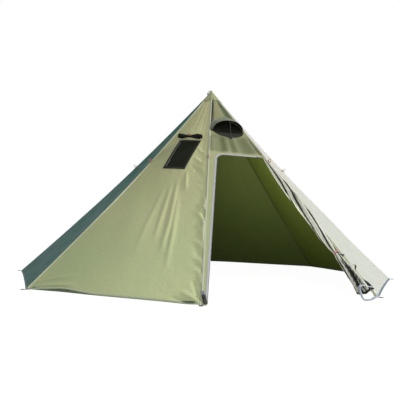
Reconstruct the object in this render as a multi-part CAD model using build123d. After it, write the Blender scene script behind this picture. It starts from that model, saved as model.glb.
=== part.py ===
"""Eight-sided teepee tent, pitched: canopy, apex, door, vent, stove jack and centre pole.

Millimetres, +Z up. The origin is on the ground below the apex and the door panel faces -Y.
A point on a canopy panel is (u, v, h): u along the panel's foot to the right as seen from
outside, v up its slope, and h outward from its face.
"""
from build123d import *
from math import cos, degrees, acos, hypot, pi, radians, sin, sqrt
import os

# ---- Canopy ----
SIDES = 8
CORNER_RADIUS = 1600.0  # centre to a pegged corner, on the ground
APEX_HEIGHT = 1600.0
FABRIC = 1.2  # a panel's cloth
SEAM_GAP = 1.5  # a panel's edge to the seam line
LAYER_GAP = 0.1  # between two sewn layers
PANEL_TIP_CUT = 45.0  # the slope of a panel left out below the apex
SEAM_TAPE = 0.8
SEAM_TAPE_LEG = 12.0
HEM_TAPE = 0.8
HEM_WIDTH = 26.0

# ---- Apex ----
CAP_CLOTH = 1.5
CAP_SLOPE = 130.0
CAP_FLAT = 4.0  # half width of the cap's blunt top
CUP_RADIUS = 18.0
CUP_FOOT = 62.0  # the cup's lower edge below the apex
CUP_TOP = 10.0  # and its upper edge
CUP_ROOF = 9.0  # the solid plastic over the pole's tip
APEX_LOOP_LENGTH = 46.0
APEX_LOOP_HEIGHT = 13.0
APEX_LOOP_WEB = 2.0
APEX_LOOP_WIDTH = 10.0
APEX_LOOP_CORNER = 3  # the seam it is sewn to, counted clockwise from the door

# ---- Door ----
DOOR_TOP = 1325.0  # up the slope
JAMB_FOOT = 32.0  # left jamb's width at the ground
JAMB_HEAD = 65.0  # and at the head of the door
JAMB_RIGHT = 22.0
DOOR_CORNER = 80.0
DOOR_CORNER_RIGHT = 18.0
TAPE_WIDTH = 16.0
TAPE = 0.8
TAPE_OUT = 6.0  # how far the zip tape reaches into the doorway
COIL_WIDTH = 3.6
COIL = 1.6
COIL_SETBACK = 4.0  # the coil's centre from the door's edge
ZIP_START = 14.0
ZIP_END_IN = 30.0  # the zip's upper end from the right jamb
STOP_LENGTH = 5.0
STOP_GAP = 1.0
SLIDER_LENGTH = 13.0
SLIDER_PLATE = 1.3
SLIDER_WIDTH = 10.0
SLIDER_EDGE = 1.0  # the slider's plates to the cloth's edge
SLIDER_CLEAR = 0.45
SLIDER_BRIDGE = 2.2
SLIDER_FROM_END = 16.0
PULL_PIN_RADIUS = 1.0
PULL_EYE = 2.2
PULL_CLEAR = 0.08
PULL_LENGTH = 30.0
PULL_WIDTH = 6.4
PULL_THICK = 1.6
PULL_EAR = 1.3
ROLL_BELOW_HEAD = 40.0  # the roll's upper end under the door's head
ROLL_FOOT = 22.0  # up the slope
ROLL_HEAD_IN = 46.0  # the roll's axis from the right seam
ROLL_FOOT_IN = 98.0
ROLL_HEAD_OUT = 20.0  # and out of the panel's face
ROLL_FOOT_OUT = 22.0
TIE_AT = 0.74  # along the roll
ROLL_SHAPE = ((0.0, 9.0), (0.1, 22.0), (0.33, 37.0), (0.55, 33.0))  # share and radius down to the tie
ROLL_SHAPE_LOW = ((0.88, 32.0), (1.0, 38.0))  # and below it
TIE_WAIST = 14.0
TIE_BAND = 1.4
TIE_BAND_WIDTH = 9.0
TIE_CLEAR = 0.5
TOGGLE_RADIUS = 4.5
TOGGLE_LENGTH = 26.0
# the toggle's waist and bevels, as shares of its radius
TOGGLE_WAIST = 0.75
TOGGLE_WAIST_FROM = 0.4
TOGGLE_WAIST_TO = 0.8
TOGGLE_BEVEL = 0.3
BASE_LOOP_LENGTH = 62.0
BASE_LOOP_HEIGHT = 9.0
BASE_LOOP_WEB = 1.4
BASE_LOOP_WIDTH = 20.0
BASE_LOOP_FOOT = 6.0
BUCKLE_LENGTH = 26.0
BUCKLE_WIDTH = 18.0
BUCKLE_THICK = 5.5
BUCKLE_CORNER = 3.0
BUCKLE_SLOTS_AT = (0.28, 0.66)  # along its length
BUCKLE_SLOT = 4.0

# ---- Vent ----
VENT_FROM_APEX = 558.325  # from the apex down the slope to the vent's tips
VENT_HALF = 131.0
VENT_DROP = 75.0
HOOD_RISE = 165.0
HOOD_OUT = 82.0  # the rim's middle from the panel's face
HOOD_RIM_RISE = 36.0
HOOD_CLOTH = 1.5
HOOD_LAP = 4.0
HOOD_STEPS = 16
HOOD_END = 5.0  # degrees of the arch left off at each tip
MESH = 0.6
MESH_LAP = 8.0
PROP_RADIUS = 2.5
PROP_EYE = 4.0
PROP_PIN_RADIUS = 1.5
PROP_CLEAR = 0.05
PROP_EYE_WIDTH = 8.0
PROP_EAR = 2.0
PROP_EAR_GAP = 0.3
PROP_SEAT = 1.5
PROP_FROM_EDGE = 12.0
PROP_PIVOT_OUT = 6.5
PROP_TIP_CLEAR = 1.2

# ---- Stove jack ----
JACK_U = 7.0
JACK_V = 1340.0
JACK_TURN = -6.0
JACK_WIDTH = 196.0
JACK_HEIGHT = 325.0
JACK_BORDER = 17.0
JACK_LAP = 6.0  # the border over the opening's edge
JACK_FRAME = 1.4
JACK_CLEAR = 0.5
FLAP_LENGTH = 204.0
FLAP_END = 20.0  # radius of the rolled flap at its ends
FLAP_TIP = 16.0  # its radius at the very ends
FLAP_END_AT = 0.8  # where it is widest, as a share of its half length
FLAP_WAIST = 10.0
FLAP_ABOVE = 14.0
CORD_RADIUS = 1.25
FLAP_CORD_SPREAD = 62.0
FLAP_CORD_ABOVE = 34.0
FLAP_CORD_SHOULDER = 24.0
FLAP_CORD_TURN = radians(48)  # the shoulder's place round the rolled flap
CORD_STAND = 2.2  # the stretched cord off the rolled flap
FLAP_TOGGLE_RADIUS = 4.0
FLAP_TOGGLE_LENGTH = 22.0

# ---- Guy points and peg tabs ----
GUY_SLOPE = 0.588  # of the way up each seam
GUY_PATCH_LENGTH = 34.0
GUY_PATCH = 0.9
GUY_PATCH_LEG = 15.0
GUY_LOOP_RADIUS = 10.0
GUY_CORD_RADIUS = 1.6
PEG_TAB = 1.6
PEG_TAB_WIDTH = 25.0
PEG_TAB_OUT = 33.0
PEG_TAB_LIFT = 1.2
EYELET_OUT = 19.0
EYELET_BORE = 5.0
EYELET_BARREL = 6.1
EYELET_FLANGE = 9.5
EYELET_FLANGE_THICK = 0.9

# ---- Pole ----
POLE_RADIUS = 9.5
POLE_WALL = 1.1
POLE_UPPER = 480.0
POLE_MIDDLE = 480.0
FERRULE_LENGTH = 120.0
FERRULE_WALL = 1.2
FERRULE_CLEAR = 0.1
TIP_RADIUS = 7.5
TIP_PLUG = 40.0
TIP_SHOULDER = 6.0
TIP_CLEAR = 0.3
FOOT_TUBE_CLEAR = 0.3
FOOT_TUBE_WALL = 1.2
FOOT_TUBE_SPARE = 81.7  # from the foot's tube up to the lower ferrule
FOOT_RADIUS = 23.0
FOOT_NECK = 14.0
FOOT_HEIGHT = 58.0
FOOT_CHAMFER = 4.0
FOOT_BODY_TOP = 26.1
FOOT_NECK_FROM = 46.4
FOOT_FLOOR = 8.0
FOOT_SEAT_CLEAR = 0.05
COLLAR_GAP = 4.0
COLLAR_HEIGHT = 46.0
COLLAR_WALL = 4.0
COLLAR_CLEAR = 0.1
LUG_WIDTH = 14.0
LUG_HEIGHT = 8.0
LOCK_ANGLE = 158.0
LEVER_PIVOT = 27.0
LEVER_BARREL = 7.0
LEVER_PIN_RADIUS = 2.0
LEVER_CLEAR = 0.05
LEVER_GAP = 0.4
LEVER_ARM = 38.0
LEVER_THICK = 6.0

STEP_ANGLE = 360.0 / SIDES
APOTHEM = CORNER_RADIUS * cos(pi / SIDES)
HALF_BASE = CORNER_RADIUS * sin(pi / SIDES)
SLANT = hypot(APOTHEM, APEX_HEIGHT)
VENT_LINE = SLANT - VENT_FROM_APEX  # the slope at the vent's tips
RIDGE = hypot(CORNER_RADIUS, APEX_HEIGHT)
PANEL_NORMAL_OUT = APEX_HEIGHT / SLANT
PANEL_NORMAL_UP = APOTHEM / SLANT
FOLD = acos(PANEL_NORMAL_OUT**2 * cos(2 * pi / SIDES) + PANEL_NORMAL_UP**2) / 2
DOOR_ANGLE = -90.0
INSIDE = -FABRIC - LAYER_GAP
TAPE_TOP = LAYER_GAP + SEAM_TAPE
ON_FACE = (Align.CENTER, Align.CENTER, Align.MIN)
HANGING = (Align.CENTER, Align.MAX, Align.CENTER)
CAP_UNDER = TAPE_TOP + LAYER_GAP

PANEL_NAMES = (
    "front_panel",
    "front_right_panel",
    "right_panel",
    "back_right_panel",
    "back_panel",
    "back_left_panel",
    "left_panel",
    "front_left_panel",
)


# ---- Frames and helpers ----
def panel_plane(angle=DOOR_ANGLE):
    """The frame of one panel: u along its foot, v up its slope and h outward."""
    a = radians(angle)
    return Plane(
        origin=(APOTHEM * cos(a), APOTHEM * sin(a), 0),
        x_dir=(-sin(a), cos(a), 0),
        z_dir=(PANEL_NORMAL_OUT * cos(a), PANEL_NORMAL_OUT * sin(a), PANEL_NORMAL_UP),
    )


def ridge_plane(angle):
    """The frame of one seam: its z runs up the ridge and its y points out of the tent."""
    a = radians(angle)
    return Plane(
        origin=(CORNER_RADIUS * cos(a), CORNER_RADIUS * sin(a), 0),
        x_dir=(sin(a), -cos(a), 0),
        z_dir=(-CORNER_RADIUS * cos(a), -CORNER_RADIUS * sin(a), APEX_HEIGHT),
    )


def corner_angles():
    """Directions of the pegged corners, from the one right of the door."""
    return [DOOR_ANGLE + (k + 0.5) * STEP_ANGLE for k in range(SIDES)]


def half_width(v):
    """Half of a panel's width at slope v, between its seam lines."""
    return HALF_BASE * (1 - v / SLANT)


def above_ground(shape):
    """The part of a shape that is not below the ground."""
    return split(shape, bisect_by=Plane.XY, keep=Keep.TOP)


def slab(face, low, high):
    """A flat face made solid from height low to height high."""
    return Pos(0, 0, low) * extrude(face, amount=high - low, dir=(0, 0, 1))


def gore(v_low, v_high, inset=SEAM_GAP):
    """A panel's outline between two slopes, clear of both seams."""
    foot = half_width(v_low) - inset
    head = half_width(v_high) - inset
    return Polygon((-foot, v_low), (foot, v_low), (head, v_high), (-head, v_high), align=None)


def skin_solid(rings):
    """A closed solid through rings of four points each, in flat triangles."""
    faces = []

    def patch(a, b, c, d):
        faces.append(Face(Wire.make_polygon([a, b, c])))
        faces.append(Face(Wire.make_polygon([a, c, d])))

    for ring, following in zip(rings, rings[1:]):
        for i in range(4):
            j = (i + 1) % 4
            patch(ring[i], ring[j], following[j], following[i])
    patch(*rings[0])
    patch(*rings[-1])
    return Solid(Shell(faces))


def tube(radius, bore, low, high):
    """An upright tube on the pole's axis."""
    return slab(Circle(radius) - Circle(bore), low, high)


def rod(radius, start, end):
    """A round rod from one point to another."""
    axis = Vector(*end) - Vector(*start)
    return Plane(origin=start, z_dir=axis) * extrude(Circle(radius), amount=axis.length)


def toggle(plane, radius, length):
    """A barrel toggle lying along the plane's x, waisted in the middle."""
    half = length / 2
    waist = radius * TOGGLE_WAIST
    bevel = radius * TOGGLE_BEVEL
    profile = make_face(
        Polyline(
            (-half, 0),
            (-half, radius - bevel),
            (-half + bevel, radius),
            (-radius * TOGGLE_WAIST_TO, radius),
            (-radius * TOGGLE_WAIST_FROM, waist),
            (radius * TOGGLE_WAIST_FROM, waist),
            (radius * TOGGLE_WAIST_TO, radius),
            (half - bevel, radius),
            (half, radius - bevel),
            (half, 0),
            close=True,
        )
    )
    return plane * revolve(profile, axis=Axis.X)


def webbing_loop(plane, length, height, web, width):
    """A flat loop of webbing: a stadium ring in the plane, as wide as the webbing."""
    ring = SlotOverall(length, height) - SlotOverall(length - 2 * web, height - 2 * web)
    return plane * slab(ring, -width / 2, width / 2)


def save(name, *shapes):
    """Write one node's closed solids to its STEP file."""
    solids = [solid for shape in shapes for solid in shape.solids()]
    export_step(solids[0] if len(solids) == 1 else Compound(children=solids), f"parts/{name}.step")


# ---- Door and vent outlines ----
def door_left(v):
    """The door's left edge at slope v."""
    return -half_width(v) + JAMB_FOOT + (JAMB_HEAD - JAMB_FOOT) * v / DOOR_TOP


def door_right(v):
    """The door's right edge at slope v."""
    return half_width(v) - JAMB_RIGHT


def doorway(foot):
    """The door's opening from slope foot to its rounded head."""
    outline = Polygon(
        (door_left(foot), foot),
        (door_right(foot), foot),
        (door_right(DOOR_TOP), DOOR_TOP),
        (door_left(DOOR_TOP), DOOR_TOP),
        align=None,
    )
    head = outline.vertices().group_by(Axis.Y)[-1].sort_by(Axis.X)
    outline = fillet(head[0], DOOR_CORNER)
    right = outline.vertices().group_by(Axis.Y)[-1].sort_by(Axis.X)[-1]
    return fillet(right, DOOR_CORNER_RIGHT)


def eye(margin):
    """The vent's opening, grown by a margin: a shallow bowl below and a tall arch above."""
    half = VENT_HALF + margin
    side = 2 * half + HOOD_RISE
    below = Ellipse(half, VENT_DROP + margin) & Pos(0, -side / 2) * Rectangle(2 * side, side)
    above = Ellipse(half, HOOD_RISE + margin) & Pos(0, side / 2) * Rectangle(2 * side, side)
    return Pos(0, VENT_LINE) * (below + above)


# ---- Canopy ----
def make_panels():
    """Every full panel, the front one in its four sewn pieces, and their hems."""
    top = SLANT - PANEL_TIP_CUT
    hems = []
    for k in range(1, SIDES):
        plane = panel_plane(DOOR_ANGLE + k * STEP_ANGLE)
        outline = gore(-HEM_WIDTH, top)
        if PANEL_NAMES[k] == "front_left_panel":
            outline -= jack_outline(JACK_BORDER - JACK_LAP)
        save(PANEL_NAMES[k], above_ground(plane * slab(outline, -FABRIC, 0)))
        hem = gore(-HEM_WIDTH, HEM_WIDTH)
        hems.append(above_ground(plane * slab(hem, INSIDE - HEM_TAPE, INSIDE)))

    door = panel_plane()
    lintel_foot = DOOR_TOP - DOOR_CORNER
    pieces = {
        "door_jamb_pieces": gore(-HEM_WIDTH, lintel_foot - LAYER_GAP) - doorway(-HEM_WIDTH),
        "front_lintel_panel": gore(lintel_foot, VENT_LINE - LAYER_GAP) - doorway(0) - eye(0),
        "front_top_panel": gore(VENT_LINE, top) - eye(0),
    }
    left, right = pieces["door_jamb_pieces"].faces().sort_by(Axis.X)
    save("door_jamb_left", above_ground(door * slab(left, -FABRIC, 0)))
    save("door_jamb_right", above_ground(door * slab(right, -FABRIC, 0)))
    for name in ("front_lintel_panel", "front_top_panel"):
        save(name, door * slab(pieces[name], -FABRIC, 0))
    for foot in (gore(-HEM_WIDTH, HEM_WIDTH) - doorway(-HEM_WIDTH)).faces():
        hems.append(above_ground(door * slab(foot, INSIDE - HEM_TAPE, INSIDE)))
    save("hem_tapes", *hems)


def ridge_strip(angle, under, thick, leg, low, high):
    """A strip folded over one seam, from low to high along the ridge."""
    across, down = leg * cos(FOLD), leg * sin(FOLD)
    inner = under / cos(FOLD)
    outer = (under + thick) / cos(FOLD)
    rise, lean = thick * cos(FOLD), thick * sin(FOLD)
    section = Polygon(
        (0, inner),
        (across, inner - down),
        (across + lean, inner - down + rise),
        (0, outer),
        (-across - lean, inner - down + rise),
        (-across, inner - down),
        align=None,
    )
    return ridge_plane(angle) * slab(section, low, high)


def make_seams():
    """A tape over each seam, and the guy point sewn on it."""
    guy_at = GUY_SLOPE * RIDGE
    cap_foot = RIDGE * (1 - CAP_SLOPE / SLANT)
    tapes, patches, loops = [], [], []
    for angle in corner_angles():
        tape_end = cap_foot + SEAM_TAPE_LEG
        tape = ridge_strip(angle, LAYER_GAP, SEAM_TAPE, SEAM_TAPE_LEG, -HEM_WIDTH, tape_end)
        tapes.append(above_ground(tape))
        low = guy_at - GUY_PATCH_LENGTH / 2
        high = guy_at + GUY_PATCH_LENGTH / 2
        patches.append(ridge_strip(angle, CAP_UNDER, GUY_PATCH, GUY_PATCH_LEG, low, high))
        out = (CAP_UNDER + GUY_PATCH) / cos(FOLD) + LAYER_GAP + GUY_LOOP_RADIUS + GUY_CORD_RADIUS
        ring = Rot(0, 90, 0) * Torus(GUY_LOOP_RADIUS, GUY_CORD_RADIUS)
        loops.append(ridge_plane(angle) * (Pos(0, out, guy_at) * ring))
    save("seam_tapes", *tapes)
    save("guy_patches", *patches)
    save("guy_loops", *loops)


def pyramid(offset, foot, blunt):
    """The tent's pyramid grown by an offset, from height foot to a blunt top."""
    apex = APEX_HEIGHT + offset / PANEL_NORMAL_UP
    spread = CORNER_RADIUS / APEX_HEIGHT
    top = apex - blunt * APEX_HEIGHT / APOTHEM

    def ring(z):
        return [
            ((apex - z) * spread * cos(radians(a)), (apex - z) * spread * sin(radians(a)), z)
            for a in corner_angles()
        ]

    low, high = ring(foot), ring(top)
    faces = [Face(Wire.make_polygon(low)), Face(Wire.make_polygon(high))]
    for i in range(SIDES):
        j = (i + 1) % SIDES
        faces.append(Face(Wire.make_polygon([low[i], low[j], high[j], high[i]])))
    return Solid(Shell(faces))


def make_apex():
    """The reinforced cap, the cup that seats the pole and the hanging loop."""
    foot = APEX_HEIGHT * (1 - CAP_SLOPE / SLANT)
    grown = CAP_UNDER + CAP_CLOTH
    save("apex_cap", pyramid(grown, foot, CAP_FLAT) - pyramid(CAP_UNDER, foot - 1, CAP_FLAT))

    def under_cap(z):
        """The cap's inner apothem at height z."""
        inner_apex = APEX_HEIGHT + CAP_UNDER / PANEL_NORMAL_UP
        return (inner_apex - z) * APOTHEM / APEX_HEIGHT - 2 * LAYER_GAP

    cup_top = APEX_HEIGHT - CUP_TOP
    cup_foot = APEX_HEIGHT - CUP_FOOT
    shoulder = cup_top - (CUP_RADIUS - under_cap(cup_top)) * APEX_HEIGHT / APOTHEM
    bore = TIP_RADIUS + TIP_CLEAR
    profile = Polyline(
        (0, cup_top),
        (under_cap(cup_top), cup_top),
        (CUP_RADIUS, shoulder),
        (CUP_RADIUS, cup_foot),
        (bore, cup_foot),
        (bore, pole_tip_top() + TIP_CLEAR),
        (0, pole_tip_top() + TIP_CLEAR),
        close=True,
    )
    save("apex_cup", revolve(Plane.XZ * make_face(profile), axis=Axis.Z))

    angle = corner_angles()[-APEX_LOOP_CORNER]
    out = (CAP_UNDER + CAP_CLOTH) / cos(FOLD) + LAYER_GAP + APEX_LOOP_HEIGHT / 2
    ridge = ridge_plane(angle)
    middle = ridge.from_local_coords((0, out, RIDGE - APEX_LOOP_LENGTH / 2))
    loop_plane = Plane(origin=middle, x_dir=ridge.z_dir, z_dir=ridge.x_dir)
    save(
        "apex_loop",
        webbing_loop(loop_plane, APEX_LOOP_LENGTH, APEX_LOOP_HEIGHT, APEX_LOOP_WEB, APEX_LOOP_WIDTH),
    )


def make_peg_tabs():
    """A webbing tab at each corner, with a metal eyelet for the peg."""
    tent = pyramid(CAP_UNDER, -PEG_TAB_LIFT, CAP_FLAT)
    tabs, eyelets = [], []
    low = PEG_TAB_LIFT
    for angle in corner_angles():
        place = Rot(0, 0, angle) * Pos(CORNER_RADIUS, 0, 0)
        inner = PEG_TAB_WIDTH / 2
        end = Pos(PEG_TAB_OUT - inner, 0) * Circle(inner)
        flat = Pos((PEG_TAB_OUT - 2 * inner) / 2, 0) * Rectangle(PEG_TAB_OUT, 2 * inner) + end
        flat -= Pos(EYELET_OUT, 0) * Circle(EYELET_BARREL + LAYER_GAP)
        tabs.append(place * slab(flat, low, low + PEG_TAB) - tent)
        eyelets.append(place * (Pos(EYELET_OUT, 0, 0) * eyelet(low)))
    save("peg_tabs", *tabs)
    save("peg_eyelets", *eyelets)


def eyelet(low):
    """One eyelet about a tab whose lower face is at height low."""
    foot = low - LAYER_GAP - EYELET_FLANGE_THICK
    head = low + PEG_TAB + LAYER_GAP + EYELET_FLANGE_THICK
    barrel = tube(EYELET_BARREL, EYELET_BORE, foot, head)
    lower = tube(EYELET_FLANGE, EYELET_BORE, foot, foot + EYELET_FLANGE_THICK)
    upper = tube(EYELET_FLANGE, EYELET_BORE, head - EYELET_FLANGE_THICK, head)
    return barrel + lower + upper


# ---- Door ----
def zip_ribbon(into_doorway, width, low, high, start, end_in):
    """A ribbon along the door's left edge and head, its centre into_doorway of the edge."""
    slope = sqrt(1 + ((door_left(DOOR_TOP) - door_left(0)) / DOOR_TOP) ** 2)
    shift = into_doorway * slope
    head = DOOR_TOP - into_doorway
    foot = (door_left(start) + shift, start)
    bend = (door_left(head) + shift, head)
    end = (door_right(DOOR_TOP) - end_in, head)
    path = FilletPolyline(foot, bend, end, radius=DOOR_CORNER - into_doorway)
    section = Plane(origin=path @ 0, x_dir=Vector(0, 0, 1).cross(path % 0), z_dir=path % 0)
    middle = (low + high) / 2
    flat = section * (Pos(0, middle) * Rectangle(width, high - low))
    return panel_plane() * sweep(flat, path=path)


def coil_low():
    """The height of the zip coil's underside over the panel's face."""
    return LAYER_GAP + TAPE + LAYER_GAP


def slider_u():
    """The slider's middle along the door's head, at rest beside the end stop."""
    return door_right(DOOR_TOP) - ZIP_END_IN - STOP_LENGTH - SLIDER_FROM_END


def make_zip():
    """The zip's tape, coil, stops, slider and pull."""
    low = LAYER_GAP
    centre = TAPE_OUT - TAPE_WIDTH / 2
    save("zip_tape", zip_ribbon(centre, TAPE_WIDTH, low, low + TAPE, ZIP_START, ZIP_END_IN))
    coil_top = coil_low() + COIL
    coil_from = ZIP_START + STOP_LENGTH + STOP_GAP
    coil_to = ZIP_END_IN + STOP_LENGTH + STOP_GAP
    coil = zip_ribbon(COIL_SETBACK, COIL_WIDTH, coil_low(), coil_top, coil_from, coil_to)
    save("zip_coil", coil)

    stop = Box(STOP_LENGTH, COIL_WIDTH + 2 * LAYER_GAP, COIL, align=ON_FACE)
    head_u = door_right(DOOR_TOP) - ZIP_END_IN - STOP_LENGTH / 2
    head = Pos(head_u, DOOR_TOP - COIL_SETBACK, coil_low())
    foot_v = ZIP_START + STOP_LENGTH / 2
    foot = Pos(door_left(foot_v) + COIL_SETBACK, foot_v, coil_low()) * Rot(0, 0, 90)
    save("zip_stops", panel_plane() * (head * stop), panel_plane() * (foot * stop))

    outer_low = LAYER_GAP - SLIDER_CLEAR - SLIDER_PLATE
    outer_high = coil_top + SLIDER_CLEAR + SLIDER_PLATE
    inner_low = LAYER_GAP - SLIDER_CLEAR
    inner_high = coil_top + SLIDER_CLEAR
    near = DOOR_TOP - SLIDER_EDGE
    far = near - SLIDER_WIDTH
    bridge = far + SLIDER_BRIDGE
    start = slider_u() - SLIDER_LENGTH / 2
    across = Plane(origin=(start, 0, 0), x_dir=(0, 1, 0), z_dir=(1, 0, 0))
    section = Polygon(
        (near, outer_low),
        (far, outer_low),
        (far, outer_high),
        (near, outer_high),
        (near, inner_high),
        (bridge, inner_high),
        (bridge, inner_low),
        (near, inner_low),
        align=None,
    )
    body = across * slab(section, 0, SLIDER_LENGTH)
    pivot = pull_pivot()
    for side in (-1, 1):
        ear = Box(PULL_EAR, 2 * PULL_EYE, pivot[2] - inner_high + PULL_PIN_RADIUS, align=ON_FACE)
        ear_u = pivot[0] + side * (PULL_WIDTH / 2 + PULL_EAR)
        body += Pos(ear_u, pivot[1], inner_high + LAYER_GAP) * ear
    reach = PULL_WIDTH / 2 + PULL_EAR
    body += rod(PULL_PIN_RADIUS, (pivot[0] - reach, *pivot[1:]), (pivot[0] + reach, *pivot[1:]))
    save("zip_slider", panel_plane() * body)

    half = PULL_WIDTH / 2
    eye_ring = rod(PULL_EYE, (pivot[0] - half, *pivot[1:]), (pivot[0] + half, *pivot[1:]))
    tab = Pos(*pivot) * Box(PULL_WIDTH, PULL_LENGTH, PULL_THICK, align=HANGING)
    tab = fillet(tab.edges().filter_by(Axis.Z).group_by(Axis.Y)[0], PULL_WIDTH / 2.2)
    hole_ends = ((pivot[0] - 2 * half, *pivot[1:]), (pivot[0] + 2 * half, *pivot[1:]))
    hole = rod(PULL_PIN_RADIUS + PULL_CLEAR, *hole_ends)
    save("zip_pull", panel_plane() * (eye_ring + tab - hole))


def pull_pivot():
    """The pull's hinge on top of the slider, as (u, v, h)."""
    top = coil_low() + COIL + SLIDER_CLEAR + SLIDER_PLATE
    return (slider_u(), DOOR_TOP - SLIDER_EDGE - SLIDER_WIDTH / 2, top + PULL_EYE + LAYER_GAP)


def roll_end(v, inward, out):
    """A point on the rolled door's axis, as (u, v, h)."""
    return Vector(half_width(v) - inward, v, out)


def roll_plane():
    """The rolled door's frame: x runs down its axis from the head, y lies out of the panel."""
    head = roll_end(DOOR_TOP - ROLL_BELOW_HEAD, ROLL_HEAD_IN, ROLL_HEAD_OUT)
    foot = roll_end(ROLL_FOOT, ROLL_FOOT_IN, ROLL_FOOT_OUT)
    along = (foot - head).normalized()
    side = along.cross(Vector(0, 0, 1)).normalized()
    return Plane(origin=head, x_dir=along, z_dir=side), (foot - head).length


def make_door_roll():
    """The door's cloth, rolled along the right jamb, and the tie that holds it."""
    plane, length = roll_plane()
    shares = (*ROLL_SHAPE, (TIE_AT, TIE_WAIST), *ROLL_SHAPE_LOW)
    outline = Spline(*[(share * length, radius) for share, radius in shares])
    edge = Polyline((length, shares[-1][1]), (length, 0), (0, 0), (0, shares[0][1]))
    body = revolve(make_face(outline + edge), axis=Axis.X)
    save("door_roll", above_ground(panel_plane() * (plane * body)))

    at = TIE_AT * length
    inner = TIE_WAIST + TIE_CLEAR
    outer = inner + TIE_BAND
    ring = slab(Circle(outer) - Circle(inner), -TIE_BAND_WIDTH / 2, TIE_BAND_WIDTH / 2)
    band = Pos(at, 0, 0) * (Rot(0, 90, 0) * ring)
    save("door_tie_band", panel_plane() * (plane * band))
    centre = plane.from_local_coords((at, 0, 0))
    strap_end = centre.X + outer
    strap_start = half_width(centre.Y) - SEAM_GAP
    strap_low = LAYER_GAP + SEAM_TAPE + LAYER_GAP
    strap = Pos(strap_end + LAYER_GAP, centre.Y, strap_low) * Box(
        strap_start - strap_end, TIE_BAND_WIDTH, TIE_BAND, align=(Align.MIN, Align.CENTER, Align.MIN)
    )
    save("door_tie_strap", panel_plane() * strap)
    out = outer + TIE_CLEAR + TOGGLE_RADIUS
    save("door_tie_toggle", panel_plane() * (plane * (Pos(at, out, 0) * toggle_across())))


def toggle_across():
    """The door's toggle, lying across the roll."""
    across = Plane(origin=(0, 0, 0), x_dir=(0, 0, 1), z_dir=(0, 1, 0))
    return toggle(across, TOGGLE_RADIUS, TOGGLE_LENGTH)


def make_door_base():
    """The webbing loop and the buckle half at the foot of the left jamb."""
    foot = BASE_LOOP_FOOT
    middle_v = foot + BASE_LOOP_LENGTH / 2
    under = CAP_UNDER + LAYER_GAP
    u = (-half_width(middle_v) + door_left(middle_v) - TAPE_WIDTH + TAPE_OUT + SEAM_TAPE_LEG) / 2
    origin = (u, middle_v, under + BASE_LOOP_HEIGHT / 2)
    plane = Plane(origin=origin, x_dir=(0, 1, 0), z_dir=(1, 0, 0))
    loop = webbing_loop(plane, BASE_LOOP_LENGTH, BASE_LOOP_HEIGHT, BASE_LOOP_WEB, BASE_LOOP_WIDTH)
    save("door_base_loop", panel_plane() * loop)
    low_v = foot + BASE_LOOP_LENGTH + 2 * LAYER_GAP
    body = Pos(u, low_v, under) * Box(
        BUCKLE_WIDTH, BUCKLE_LENGTH, BUCKLE_THICK, align=(Align.CENTER, Align.MIN, Align.MIN)
    )
    body = fillet(body.edges().filter_by(Axis.Z), BUCKLE_CORNER)
    for share in BUCKLE_SLOTS_AT:
        slot = Box(BUCKLE_WIDTH - 2 * BUCKLE_SLOT, BUCKLE_SLOT, 3 * BUCKLE_THICK)
        body -= Pos(u, low_v + share * BUCKLE_LENGTH, under) * slot
    save("door_base_buckle", panel_plane() * body)


# ---- Vent ----
def make_vent():
    """The vent's net, its hood, and the prop that holds the hood out."""
    door = panel_plane()
    save("vent_mesh", door * slab(eye(MESH_LAP), INSIDE - MESH, INSIDE))

    half = VENT_HALF + HOOD_LAP
    rise = HOOD_RISE + HOOD_LAP
    lean = hypot(rise - HOOD_RIM_RISE, HOOD_OUT)
    base_step = HOOD_CLOTH * lean / HOOD_OUT
    rim_step = HOOD_CLOTH * lean / (rise - HOOD_RIM_RISE)
    low = 2 * LAYER_GAP
    rings = []
    for k in range(HOOD_STEPS + 1):
        turn = radians(HOOD_END + (180 - 2 * HOOD_END) * k / HOOD_STEPS)
        c, s = cos(turn), sin(turn)
        ring = (
            (half * c, VENT_LINE + rise * s, low),
            (half * c, VENT_LINE + HOOD_RIM_RISE * s, low + HOOD_OUT * s),
            ((half - HOOD_CLOTH) * c, VENT_LINE + HOOD_RIM_RISE * s, low + (HOOD_OUT - rim_step) * s),
            ((half - HOOD_CLOTH) * c, VENT_LINE + (rise - base_step) * s, low),
        )
        rings.append([door.from_local_coords(point) for point in ring])
    save("vent_hood", skin_solid(rings))

    pivot = prop_pivot()
    tip = prop_tip()
    half_eye = PROP_EYE_WIDTH / 2
    ends = ((-half_eye, *pivot[1:]), (half_eye, *pivot[1:]))
    stick = rod(PROP_EYE, *ends) + rod(PROP_RADIUS, pivot, tip)
    stick += Pos(*tip) * Sphere(PROP_RADIUS)
    bore = PROP_PIN_RADIUS + PROP_CLEAR
    long_ends = ((-2 * half_eye, *pivot[1:]), (2 * half_eye, *pivot[1:]))
    save("vent_prop", door * (stick - rod(bore, *long_ends)))

    reach = half_eye + PROP_EAR_GAP + PROP_EAR
    seat = Box(3 * reach, 4 * PROP_EYE, PROP_SEAT, align=ON_FACE)
    socket = Pos(0, pivot[1], LAYER_GAP) * seat
    for side in (-1, 1):
        at = side * (reach - PROP_EAR / 2)
        post = Box(PROP_EAR, 2 * PROP_EYE, pivot[2] - LAYER_GAP, align=ON_FACE)
        socket += Pos(at, pivot[1], LAYER_GAP) * post
        socket += rod(PROP_EYE, (at - PROP_EAR / 2, *pivot[1:]), (at + PROP_EAR / 2, *pivot[1:]))
    save("vent_prop_socket", door * (socket - rod(bore, *long_ends)))
    pin_ends = ((-reach - 1, *pivot[1:]), (reach + 1, *pivot[1:]))
    save("vent_prop_pin", door * rod(PROP_PIN_RADIUS, *pin_ends))


def prop_pivot():
    """The prop's hinge below the vent, as (u, v, h)."""
    return (0, VENT_LINE - VENT_DROP - PROP_FROM_EDGE, PROP_PIVOT_OUT)


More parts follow.
